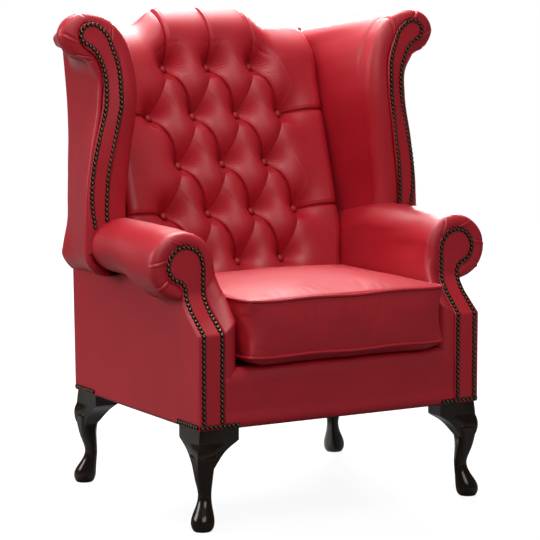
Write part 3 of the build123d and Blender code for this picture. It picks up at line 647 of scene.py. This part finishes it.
seam = seam * (1 - 0.8 * eased((depth - SEAM_FADE) / SEAM_FADE))
rows = rows + normals(rows) * (rise + seam * over_scroll)[:, :, None]
cover_both_sides("wing_pad", rows, PAD_THICKNESS)

# The outside wings. One cover of hide on the outer face of each wing, from under its scroll down
# over the roll of the arm, where its lower edge is turned under.
HANG_FRONT = [
    (0.414, 0.964), (0.3955, 0.930), (0.3945, 0.870), (0.412, 0.770), (0.424, 0.680), (0.4285, 0.600),
    (0.4285, 0.562), (0.4225, 0.528), (0.406, 0.508), (0.380, 0.500), (0.352, 0.500),
]
HANG_REAR = [
    (0.3385, 0.978), (0.3385, 0.930), (0.3390, 0.874), (0.3435, 0.792), (0.3535, 0.700),
    (0.3555, 0.655), (0.3575, 0.600), (0.3695, 0.545), (0.373, 0.524), (0.362, 0.503), (0.350, 0.490),
]
HANG_START = 0.041
HANG_COLUMNS = 150
HANG_BACK_GAP = 0.002
HANG_TUCKS = [(0, 0.006), (0, 0.006), (0.004, 0.002), (0.012, 0.0006)]
HEM = (-0.003, 0, 0.006)
front_line = smooth_line(HANG_FRONT, HANG_COLUMNS)
rear_line = smooth_line(HANG_REAR, HANG_COLUMNS)
roll_side = np.interp(front_line[:, 1], (0.505, 0.530, 0.561, 0.600), (0.372, 0.409, 0.414, 0.400))
at_roll = np.interp(front_line[:, 1], (0.500, 0.600, 0.640), (1, 1, 0))
rows = []
for share, tuck in HANG_TUCKS + [(share, 0) for share in np.linspace(0.03, 1, 50)]:
    xz = front_line + (rear_line - front_line) * share
    x = xz[:, 0] - tuck
    if not rows:
        x = x + (np.minimum(roll_side, x) - x) * at_roll
    y = HANG_START + (rear_y(xz[:, 1]) - HANG_BACK_GAP - HANG_START) * share
    rows.append(np.stack([x, y, xz[:, 1]], axis=1))
rows = np.array(rows)
rows = np.concatenate([rows, rows[:, -1:] + HEM], axis=1)[:, ::-1]
cover_both_sides("outside_wing", rows, PAD_THICKNESS)

# The inside back. Hide over deep horsehair, drawn down to buttons in a diamond pattern. Each
# diamond swells between its buttons, the hide folds over in a pleat along the diagonals, and
# straight pleats carry the spare hide over the serpentine crest and out to the sides.
LEAN = math.radians(18.3)
UP = np.array((0, math.sin(LEAN), math.cos(LEAN)))
OUT = np.array((0, -math.cos(LEAN), math.sin(LEAN)))
FIRST_BUTTON = np.array((0, 0.137, 0.496))
HALF_PITCH = 0.057
ROW_SPACING = 0.1144
LAST_ROW = 4 * ROW_SPACING
LAST_BUTTON = 3 * HALF_PITCH
PUFF = 0.046
SWELL = 0.052
BUTTON_WELL = 0.007
WELL_BELOW = 0.016
WELL_ABOVE = 0.033
TILE_WIDTH = 0.102
BOW_P, BOW_Q = 0.055, 0.030
VALLEY_P, VALLEY_Q = 0.34, 0.13
VALLEY_WIDTHS = (0.010, 0.024)
CREASE_P, CREASE_Q = 0.0100, 0.0022
CREASE_WIDTH = 0.0017
LIP = 0.0018
PLEAT = 0.009
SIDE_HOLLOW = 0.006
TOP_HOLLOW = 0.003
PLEAT_GAP = 0.004
PLEAT_START = 0.012
PUCKER = 0.0006
PUCKERS = 26
CREST_LOW = 1.0280
CREST_HIGH = 1.0685
CREST_FLAT = 0.096
CREST_END = 0.175
CREST_DROP = 0.075
CREST_OVERHANG = 0.036
CREST_BACK = 0.002
SEAM_HEIGHTS = (0.345, 0.411, 0.483, 0.548, 1.09)
SEAM_SIDES = (0.254, 0.254, 0.258, 0.273, 0.280)
SEAM_DROP = 0.020
SEAM_ROUND = 0.024
BACK_FOOT = -0.165
TUFT_FOOT = -0.040
COLUMNS = 380
SMOOTH_FROM = 150
SMOOTH_PASSES = 90

button_places = []
for row in range(5):
    count = 3 if row % 2 == 0 else 4
    button_places += [((i - (count - 1) / 2) * 2 * HALF_PITCH, row * ROW_SPACING) for i in range(count)]


def is_button(p, q):
    """Whether a button sits where the two numbered diagonals cross."""
    return (np.abs(p + q) <= 3) & (p - q >= 0) & (p - q <= 4)


def well(x, s, button_x, button_s):
    """How far the hide has risen out of a button's well, which is wide above and right of the button."""
    dx, ds = x - button_x, s - button_s
    reach = np.hypot(dx, ds)
    up_right = np.clip((0.55 * dx + 0.84 * ds) / np.maximum(reach, 1e-6), -1, 1)
    width = WELL_BELOW + (WELL_ABOVE - WELL_BELOW) * (0.5 + 0.5 * up_right) ** 1.3
    return 1 - np.exp(-(np.maximum(reach - BUTTON_WELL, 0) / width) ** 1.3)


def pleat(distance, hollow):
    """A straight pleat: a soft hollow, a thin crease in it and two lips on one side of the crease."""
    crease = -hollow * np.exp(-np.abs(distance / 0.008) ** 1.5)
    crease = crease - PLEAT * np.exp(-(distance / CREASE_WIDTH) ** 2)
    crease = crease + 0.0012 * np.exp(-((distance - 0.0046) / 0.0019) ** 2)
    return crease + 0.0007 * np.exp(-((distance - 0.0105) / 0.0018) ** 2)


def back_height(x, s):
    """How proud the hide stands of the button plane, at points of that plane."""
    p = (x / HALF_PITCH + s / ROW_SPACING) / 2
    q = (x / HALF_PITCH - s / ROW_SPACING) / 2
    bowed_p = p - BOW_P * np.abs(np.sin(math.pi * q))
    bowed_q = q - BOW_Q * np.abs(np.sin(math.pi * p))
    near_p, near_q = np.round(bowed_p), np.round(bowed_q)
    away_p = (bowed_p - near_p) * TILE_WIDTH
    away_q = (bowed_q - near_q) * TILE_WIDTH
    sewn_p = is_button(near_p, np.floor(q)) & is_button(near_p, np.floor(q) + 1)
    sewn_q = is_button(np.floor(p), near_q) & is_button(np.floor(p) + 1, near_q)
    open_p = sewn_p * np.abs(np.sin(math.pi * q)) ** 0.5
    open_q = sewn_q * np.abs(np.sin(math.pi * p)) ** 0.5
    width_p = np.where(away_p < 0, *VALLEY_WIDTHS)
    valley = 1 - VALLEY_P * open_p ** 0.6 * np.exp(-np.abs(away_p / width_p) ** 1.5)
    valley = valley * (1 - VALLEY_Q * open_q ** 0.6 * np.exp(-np.abs(away_q / 0.012) ** 1.6))
    crease = CREASE_P * np.exp(-(away_p / CREASE_WIDTH) ** 2) * open_p
    crease = crease + CREASE_Q * np.exp(-(away_q / CREASE_WIDTH) ** 2) * open_q
    lip = LIP * np.exp(-((away_p - 0.0052) / 0.0024) ** 2) * open_p
    risen = 1
    for button_x, button_s in button_places:
        risen = risen * well(x, s, button_x, button_s)
    among = 1 - eased((np.abs(x) - LAST_BUTTON + 0.040) / 0.090)
    height = (PUFF + (SWELL - PUFF) * among) * risen * valley - crease + lip
    beside = eased((np.abs(x) - LAST_BUTTON - PLEAT_GAP) / PLEAT_START)
    for place in (ROW_SPACING, 3 * ROW_SPACING):
        height = height + beside * pleat(s - place, SIDE_HOLLOW)
    above = eased((s - LAST_ROW - PLEAT_GAP) / PLEAT_START)
    for place in (-2 * HALF_PITCH, 0, 2 * HALF_PITCH):
        height = height + above * pleat(x - place, TOP_HOLLOW)
    return height


def crest_z(x):
    """The height of the serpentine crest."""
    rise = np.clip((CREST_END - np.abs(x)) / (CREST_END - CREST_FLAT), 0, 1)
    return CREST_LOW + (CREST_HIGH - CREST_LOW) * rise * rise * (3 - 2 * rise)


points, levels, outs = [], [], []


def lay(x, s):
    """Adds a row of points on the plane in which the unbuttoned hide would lie."""
    points.append(FIRST_BUTTON + np.outer(s, UP) + PUFF * OUT + np.outer(x, (1, 0, 0)))
    levels.append((x, s))
    outs.append(np.tile(OUT, (COLUMNS, 1)))


across = np.linspace(-1, 1, COLUMNS)
below = np.linspace(BACK_FOOT, TUFT_FOOT, 12)[:-1]
for s in np.concatenate([below, np.linspace(TUFT_FOOT, LAST_ROW - 0.02, 270)]):
    z = FIRST_BUTTON[2] + s * UP[2]
    lay(across * np.interp(z, SEAM_HEIGHTS, SEAM_SIDES), np.full(COLUMNS, s))
start = s
half_top = across * SEAM_SIDES[-1]
top = crest_z(half_top)
roll_start = (top - CREST_DROP - FIRST_BUTTON[2] - PUFF * OUT[2]) / UP[2]
for share in np.linspace(0, 1, 60)[1:]:
    lay(half_top, start + (roll_start - start) * share)

# Above the plane each column follows one smooth curve up to the crest and another down behind it.
begin = points[-1][:, 1:]
crest = np.stack([rear_y(top) + CREST_BACK, top], axis=1)
finish = np.stack([rear_y(top - CREST_OVERHANG), top - CREST_OVERHANG], axis=1)
length = np.linalg.norm(crest - begin, axis=1)[:, None]
level = roll_start
for first, last, lead, tail, count in (
    (begin, crest, UP[1:] * length * 1.15, np.array((1, 0)) * length * 0.75, 60),
    (crest, finish, np.array((0.02, 0)), np.array((0.004, -0.05)), 22),
):
    for t in np.linspace(0, 1, count)[1:]:
        yz = (1 + 2 * t) * (1 - t) ** 2 * first + t * (1 - t) ** 2 * lead
        yz = yz + t * t * (3 - 2 * t) * last + t * t * (t - 1) * tail
        run = 6 * t * (t - 1) * (first - last) + (1 - t) * (1 - 3 * t) * lead + t * (3 * t - 2) * tail
        run = run / np.linalg.norm(run, axis=1, keepdims=True)
        points.append(np.stack([half_top, yz[:, 0], yz[:, 1]], axis=1))
        level = level + np.linalg.norm(points[-1] - points[-2], axis=1)
        levels.append((half_top, level))
        outs.append(np.stack([np.zeros(COLUMNS), -run[:, 1], run[:, 0]], axis=1))
points = np.array(points)
outs = np.array(outs)
for grid in (points, outs):
    for _ in range(SMOOTH_PASSES):
        beside = (grid[SMOOTH_FROM - 1:-7] + grid[SMOOTH_FROM + 1:-5]) / 2
        grid[SMOOTH_FROM:-6] += 0.5 * (beside - grid[SMOOTH_FROM:-6])
outs = outs / np.linalg.norm(outs, axis=2, keepdims=True)
x = np.array([level[0] for level in levels])
s = np.array([level[1] for level in levels])
sunk = PUFF - back_height(x, s)
for k, (button_x, button_s) in enumerate(button_places):
    dx, ds = x - button_x, s - button_s
    turn = np.arctan2(ds, dx)
    ripple = np.cos(PUCKERS * turn + 2.1 * k) * np.clip(np.cos(turn - 0.2), 0, 1) ** 2
    sunk = sunk + PUCKER * ripple * np.exp(-((np.hypot(dx, ds) - 0.024) / 0.009) ** 2)
from_seam = np.clip((1 - np.abs(across)[None, :]) * SEAM_SIDES[-1] / SEAM_ROUND, 0, 1)
sunk = sunk + SEAM_DROP * (1 - np.sqrt(1 - (1 - from_seam) ** 2))
rows = points - outs * sunk[:, :, None]
upholster(surface("inside_back_hide", rows, leather, PAD_THICKNESS), ["inside_back"])

# The back buttons. Domed metal shells covered in the same hide, each drawn in by a cord through
# the stuffing.
BUTTON_RADIUS = 0.0088
BUTTON_HEIGHT = 0.0070
BUTTON_STAND = 0.0030
BUTTON_TIP = 0.0002
BUTTON_FULLNESS = 0.85


def link_mesh(name, points, faces, material):
    """A smooth piece from its points and faces."""
    mesh = bpy.data.meshes.new(name)
    mesh.from_pydata([tuple(map(float, point)) for point in points], [], faces)
    mesh.shade_smooth()
    mesh.materials.append(material)
    piece = bpy.data.objects.new(name, mesh)
    bpy.context.scene.collection.objects.link(piece)
    return piece


def domes(name, places, radii, rise, turns, material):
    """One piece with a domed head at each place, facing its own way, from the radii of its rings."""
    points, faces = [], []
    rings = len(radii)
    for place, facing in places:
        facing = np.array(facing, float) / np.linalg.norm(facing)
        side = np.cross(facing, (0.0, 0.0, 1.0) if abs(facing[2]) < 0.9 else (1.0, 0.0, 0.0))
        side = side / np.linalg.norm(side)
        other = np.cross(facing, side)
        first = len(points)
        for i, radius in enumerate(radii):
            height = rise * math.sin(math.pi / 2 * i / (rings - 1))
            for turn in np.arange(turns) * 2 * math.pi / turns:
                across = side * math.cos(turn) + other * math.sin(turn)
                points.append(np.array(place) + across * radius + facing * height)
        for i in range(rings - 1):
            for j in range(turns):
                a = first + i * turns + j
                b = first + i * turns + (j + 1) % turns
                faces.append((a, b, b + turns, a + turns))
        faces.append(tuple(range(first, first + turns))[::-1])
        faces.append(tuple(range(first + (rings - 1) * turns, first + rings * turns)))
    return link_mesh(name, points, faces, material)


radii = BUTTON_RADIUS * np.cos(np.linspace(0, math.pi / 2, 9)) ** BUTTON_FULLNESS
radii[-1] = BUTTON_TIP
bases = [FIRST_BUTTON + UP * s + np.array((x, 0, 0)) + OUT * BUTTON_STAND for x, s in button_places]
buttons = domes("back_buttons_hide", [(base, OUT) for base in bases], radii, BUTTON_HEIGHT, 28, leather)
upholster(buttons, ["back_buttons"])

# The outside back. One flat cover of hide, blind-tacked under the crest and down both sides.
SIDE_HEIGHTS = (0.213, 0.600, 0.700, 0.800, 0.900, 0.990)
SIDE_WIDTHS = (0.350, 0.350, 0.347, 0.341, 0.3375, 0.3375)
TOP_WIDTH = 0.343
UNDER_CREST = 0.001
BACK_BULGE = 0.003
BACK_EDGE_DROP = 0.004
rows = []
for t in np.linspace(0, 1, 100):
    line = []
    for u in np.linspace(-1, 1, 90):
        top = float(crest_z(u * TOP_WIDTH)) - CREST_OVERHANG - UNDER_CREST
        z = BODY_FOOT + (top - BODY_FOOT) * t
        drop = BACK_EDGE_DROP * max(abs(u) ** 24, (2 * t - 1) ** 24)
        bulge = BACK_BULGE * (1 - u * u) * math.sin(math.pi * t)
        line.append((u * np.interp(z, SIDE_HEIGHTS, SIDE_WIDTHS), rear_y(z) + bulge - drop, z))
    rows.append(line[::-1])
upholster(surface("outside_back_hide", rows, leather, PAD_THICKNESS), ["outside_back"])

# The seat cushion. A loose box cushion of hide over foam and feather: two panels and a border,
# sewn together with a corded seam around the top and another around the bottom.
CUSHION_SIDE = 0.243
CUSHION_FRONT = -0.344
CUSHION_BACK = 0.066
CUSHION_SEAMS = (0.3585, 0.4765)
CUSHION_CORNER = 0.006
CUSHION_CROWN = 0.021
CUSHION_BELLY = 0.0185
CUSHION_STEP = 0.0065
CROWN_POWER = 0.45
BELLY_ROUND = (0.22, 0.09)
CORNER_LIFT = 0.0024
SEAM_WAVE = 0.0016
WALL_DRAWN = 0.004
CUSHION_REST = 0.3405
CLOTH_STEP = 0.006
CLOTH_EASE = 0.002
CLOTH_PRESSURE = 4
CLOTH_FRAMES = 20
SEAM_HELD = 0.007
PLUMP_CAP = 0.008


def rounded(u, v):
    """A place in the square from -1 to 1, carried to the cushion with its rounded corners."""
    half = np.array((CUSHION_SIDE, (CUSHION_BACK - CUSHION_FRONT) / 2))
    place = np.array((u, v)) * half
    over = np.abs(place) - (half - CUSHION_CORNER)
    if over.min() > 0:
        scale = over.max() / np.linalg.norm(over)
        place = np.sign(place) * (half - CUSHION_CORNER + over * scale)
    return place[0], place[1] + (CUSHION_FRONT + CUSHION_BACK) / 2


across_count = round(2 * CUSHION_SIDE / CUSHION_STEP)
deep_count = round((CUSHION_BACK - CUSHION_FRONT) / CUSHION_STEP)
side_count = round((CUSHION_SEAMS[1] - CUSHION_SEAMS[0]) / CUSHION_STEP)
us = np.linspace(-1, 1, across_count + 1)
vs = np.linspace(-1, 1, deep_count + 1)
cushion_points = []
index = {}


def cushion_point(key, place):
    """The number of the point with this key, which is added the first time."""
    if key not in index:
        index[key] = len(cushion_points)
        cushion_points.append(place)
    return index[key]


def corner_wave(u, v):
    """The seam dips a little along its sides and lifts at its corners."""
    wave = math.sin(7.3 * u + 2.1 * v) * math.cos(4.1 * v + 0.4)
    return CORNER_LIFT * (abs(u * v) ** 6) - SEAM_WAVE * wave


def panel_height(u, v, level):
    """The height of a panel over its seam: crowned on top, flat with rounded edges below."""
    if level > 0:
        return ((1 - abs(u) ** 2.4) * (1 - abs(v) ** 2.4)) ** CROWN_POWER * level
    side = min(1, (1 - abs(u)) / BELLY_ROUND[0])
    edge = min(1, (1 - abs(v)) / BELLY_ROUND[1])
    return math.sqrt(side * (2 - side) * edge * (2 - edge)) * level


cushion_faces = []
panels = ((CUSHION_CROWN, CUSHION_SEAMS[1], "top"), (-CUSHION_BELLY, CUSHION_SEAMS[0], "foot"))
for level, seam, name in panels:
    ids = []
    for i, u in enumerate(us):
        column = []
        for j, v in enumerate(vs):
            x, y = rounded(u, v)
            rim = i in (0, across_count) or j in (0, deep_count)
            z = seam + panel_height(u, v, level) + corner_wave(u, v) * (1 if rim else 0.5)
            column.append(cushion_point((name, i, j), (x, y, z)))
        ids.append(column)
    for i in range(across_count):
        for j in range(deep_count):
            quad = (ids[i][j], ids[i + 1][j], ids[i + 1][j + 1], ids[i][j + 1])
            cushion_faces.append(quad if name == "top" else quad[::-1])
rim = [(i, 0) for i in range(across_count)]
rim += [(across_count, j) for j in range(deep_count)]
rim += [(i, deep_count) for i in range(across_count, 0, -1)]
rim += [(0, j) for j in range(deep_count, 0, -1)]
walls = []
for i, j in rim:
    low = cushion_points[index[("foot", i, j)]]
    high = cushion_points[index[("top", i, j)]]
    column = [index[("foot", i, j)]]
    for k in range(1, side_count):
        t = k / side_count
        x, y, z = [a + (b - a) * t for a, b in zip(low, high)]
        drawn = WALL_DRAWN * math.sin(math.pi * t)
        u, v = us[i], vs[j]
        x -= drawn * np.sign(u) * (abs(u) > 0.97)
        y -= drawn * np.sign(v) * (abs(v) > 0.97)
        column.append(cushion_point(("wall", i, j, k), (x, y, z)))
    column.append(index[("top", i, j)])
    walls.append(column)
for low, high in zip(walls, walls[1:] + walls[:1]):
    for k in range(side_count):
        cushion_faces.append((low[k], high[k], high[k + 1], low[k + 1]))
cushion = link_mesh("seat_cushion_hide", cushion_points, cushion_faces, leather)


def evaluated(piece):
    """The mesh of a piece with its modifiers applied."""
    return bpy.data.meshes.new_from_object(piece.evaluated_get(bpy.context.evaluated_depsgraph_get()))


def places_of(mesh):
    """The places of a mesh's points, as rows."""
    found = np.empty(len(mesh.vertices) * 3)
    mesh.vertices.foreach_get("co", found)
    return found.reshape(-1, 3)


def plump(piece):
    """Blows the cover up over its filling as cloth, held at its seams, and keeps it off its neighbours."""
    even = piece.modifiers.new("even", "REMESH")
    even.mode = "VOXEL"
    even.voxel_size = CLOTH_STEP
    piece.data = evaluated(piece)
    piece.modifiers.clear()
    before = places_of(piece.data)
    x, y, z = before.T
    inside = np.minimum(CUSHION_SIDE - np.abs(x), np.minimum(y - CUSHION_FRONT, CUSHION_BACK - y))
    off_seam = np.minimum(np.abs(z - CUSHION_SEAMS[0]), np.abs(z - CUSHION_SEAMS[1]))
    held = np.flatnonzero((inside < SEAM_HELD) & (off_seam < SEAM_HELD))
    piece.vertex_groups.new(name="seams").add(held.tolist(), 1.0, "REPLACE")
    cloth = piece.modifiers.new("cloth", "CLOTH").settings
    cloth.quality = 5
    cloth.vertex_group_mass = "seams"
    cloth.tension_stiffness = cloth.compression_stiffness = 12
    cloth.bending_stiffness = 0.6
    cloth.shrink_min = -CLOTH_EASE
    cloth.use_pressure = True
    cloth.uniform_pressure_force = CLOTH_PRESSURE
    cloth.effector_weights.gravity = 0
    scene = bpy.context.scene
    for step in range(1, CLOTH_FRAMES + 1):
        scene.frame_set(step)
    moved = places_of(evaluated(piece)) - before
    scene.frame_set(1)
    piece.modifiers.clear()
    piece.vertex_groups.clear()
    far = np.linalg.norm(moved, axis=1, keepdims=True)
    after = before + moved * np.minimum(1, PLUMP_CAP / np.maximum(far, 1e-9))
    lowest = np.array((-CUSHION_SIDE - 0.003, CUSHION_FRONT - 0.006, CUSHION_REST))
    highest = np.array((CUSHION_SIDE + 0.003, CUSHION_BACK + 0.002, CUSHION_SEAMS[1] + 0.030))
    after = np.clip(after, lowest, highest)
    piece.data.vertices.foreach_set("co", after.ravel())
    piece.data.materials.clear()
    piece.data.materials.append(leather)
    piece.data.shade_smooth()


plump(cushion)
soft = cushion.modifiers.new("soft", "SUBSURF")
soft.levels = soft.render_levels = 1
upholster(cushion, ["seat_cushion"], "cushion")

# The cushion's piping. A cord wrapped in hide and sewn into both seams, between the panel and the
# border.
CORD = 0.0034
CORD_TURNS = 12
cord_points = []
cord_faces = []
for name in ("top", "foot"):
    path = np.array([cushion_points[index[(name, i, j)]] for i, j in rim])
    ahead = np.roll(path, -1, axis=0) - np.roll(path, 1, axis=0)
    outward = np.stack([ahead[:, 1], -ahead[:, 0]], axis=1)
    outward = outward / np.linalg.norm(outward, axis=1, keepdims=True)
    first = len(cord_points)
    for point, out in zip(path, outward):
        for turn in np.arange(CORD_TURNS) * 2 * math.pi / CORD_TURNS:
            side = CORD * math.cos(turn)
            rise = CORD * math.sin(turn)
            cord_points.append((point[0] + out[0] * side, point[1] + out[1] * side, point[2] + rise))
    count = len(path)
    for i in range(count):
        for j in range(CORD_TURNS):
            next_i = (i + 1) % count
            next_j = (j + 1) % CORD_TURNS
            quad = ((i, j), (next_i, j), (next_i, next_j), (i, next_j))
            cord_faces.append([first + a * CORD_TURNS + b for a, b in quad])
piping = link_mesh("cushion_piping_hide", cord_points, cord_faces, leather)
upholster(piping, ["cushion_piping"], "cushion")

# The nails. Dome-headed brass nails, antiqued: their rims and hollows are blackened and the tops rubbed
# back to old bronze, and the black rim is also painted shade and the pale top a painted glint. They stand
# nearly touching along both edges of each facing.
NAIL_RADIUS = 0.0053
NAIL_RISE = 0.0042
NAIL_TIP = 0.03 * NAIL_RADIUS
NAIL_PITCH = 0.0106
NAIL_SUNK = 0.0008
NAIL_RINGS = 6
NAIL_TURNS = 16
NAIL_ROW = 0.096
NAIL_ROW_START = 0.008
BASE_NAILS_Z = 0.2195
SIDE_NAILS_Z = 0.2205
SIDE_NAILS_END = 0.262
WING_FACING_EDGE = 0.345
WING_FACING_WIDTH = 0.045
# The rim colour is patina and painted shade; the top colour is rubbed brass and a painted glint.
BRASS_PATINA_AND_SHADE = "#0a0907"
BRASS_RUBBED_AND_GLINT = "#7d8268"
ARM_NAILS = [
    (0.339, 0.230), (0.339, 0.320), (0.339, 0.411), (0.3405, 0.453), (0.3415, 0.480), (0.3425, 0.501),
    (0.350, 0.5135), (0.361, 0.518), (0.371, 0.5245), (0.378, 0.534), (0.382, 0.546), (0.3775, 0.565),
    (0.366, 0.5795), (0.350, 0.587), (0.333, 0.5865), (0.317, 0.579), (0.306, 0.566), (0.3010, 0.549),
    (0.3005, 0.520), (0.3005, 0.483), (0.299, 0.453), (0.2965, 0.411), (0.2965, 0.320), (0.2965, 0.230),
]
WING_NAILS = [
    (0.408, 0.607), (0.4145, 0.655), (0.4145, 0.690), (0.411, 0.725), (0.404, 0.761), (0.3945, 0.800),
    (0.386, 0.835), (0.380, 0.867), (0.3785, 0.893), (0.379, 0.915), (0.3825, 0.942), (0.389, 0.961),
    (0.398, 0.979), (0.412, 0.994), (0.428, 1.003), (0.4355, 1.011), (0.437, 1.023), (0.431, 1.034),
    (0.419, 1.041), (0.405, 1.041), (0.389, 1.032), (0.374, 1.016), (0.364, 0.990), (0.358, 0.975),
    (0.352, 0.955), (0.349, 0.930), (0.348, 0.900), (0.3475, 0.870), (0.3525, 0.842), (0.3605, 0.800),
    (0.369, 0.755), (0.375, 0.724), (0.378, 0.686), (0.380, 0.653), (0.379, 0.612),
]
brass, tree, shader = new_material("antiqued_brass", Metallic=1.0, Roughness=0.36)
# The nail colour runs from black at the rim to pale bronze at the top: patina and wear, with painted shade
# at the rim and a painted glint at the top.
worn_and_glint = add(tree, "ShaderNodeAttribute", attribute_name="worn_and_glint").outputs["Fac"]
two_tone(tree, shader, worn_and_glint, BRASS_PATINA_AND_SHADE, BRASS_RUBBED_AND_GLINT)


def nail_line(points):
    """Places one pitch apart along a line of points."""
    points = smooth_line(points, 1500)
    run = np.concatenate([[0], np.cumsum(np.linalg.norm(np.diff(points, axis=0), axis=1))])
    count = max(1, round(run[-1] / NAIL_PITCH))
    at = np.linspace(0, run[-1], count + 1)
    return np.stack([np.interp(at, run, points[:, k]) for k in range(points.shape[1])], axis=1)


def nails(name, places):
    """One piece with a nail head at each place, worn bright at the top of its dome, where a glint is
    painted too.
    """
    lifts = np.linspace(0, math.pi / 2, NAIL_RINGS)
    radii = NAIL_RADIUS * np.cos(lifts)
    radii[-1] = NAIL_TIP
    piece = domes(name, places, radii, NAIL_RISE, NAIL_TURNS, brass)
    # The top of each dome is painted pale, for rubbed brass and a painted glint; its rim is painted black,
    # for patina and painted shade.
    wear_and_glint = np.maximum(0, np.sin(lifts) * 2.2 - 1.2) ** 1.5
    wear_and_glint = np.tile(np.repeat(wear_and_glint, NAIL_TURNS), len(places))
    piece.data.attributes.new("worn_and_glint", "FLOAT", "POINT").data.foreach_set("value", wear_and_glint)
    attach(piece, "chair")


arm_line = [(x, BODY_FRONT + front_setback(z), z) for x, z in smooth_line(ARM_NAILS, 300)]
for side, name in ((1, "right"), (-1, "left")):
    places = []
    for x, y, z in nail_line(arm_line):
        slant = (front_setback(z + 0.002) - front_setback(z - 0.002)) / 0.004
        places.append(((side * x, y - NAIL_SUNK, z), (0, -1, slant)))
    nails(name + "_arm_nails", places)
    places = []
    for x, z in nail_line(WING_NAILS):
        y = wing_front(z, np.clip((x - WING_FACING_EDGE) / WING_FACING_WIDTH, 0, 1))
        places.append(((side * x, y - NAIL_SUNK, z), (0, -1, 0)))
    nails(name + "_wing_nails", places)
    places = []
    outer_x = side * (BODY_SIDE + 0.0005)
    for i in range(round(NAIL_ROW / NAIL_PITCH)):
        step = i * NAIL_PITCH + NAIL_ROW_START
        places.append(((outer_x, BODY_FRONT + step, SIDE_NAILS_Z), (side, 0, 0)))
        places.append(((outer_x, SIDE_NAILS_END - step, SIDE_NAILS_Z), (side, 0, 0)))
        front_x = side * (BODY_SIDE + 0.002 - step)
        places.append(((front_x, BODY_FRONT - NAIL_SUNK, BASE_NAILS_Z), (0, -1, 0)))
    nails(name + "_base_nails", places)
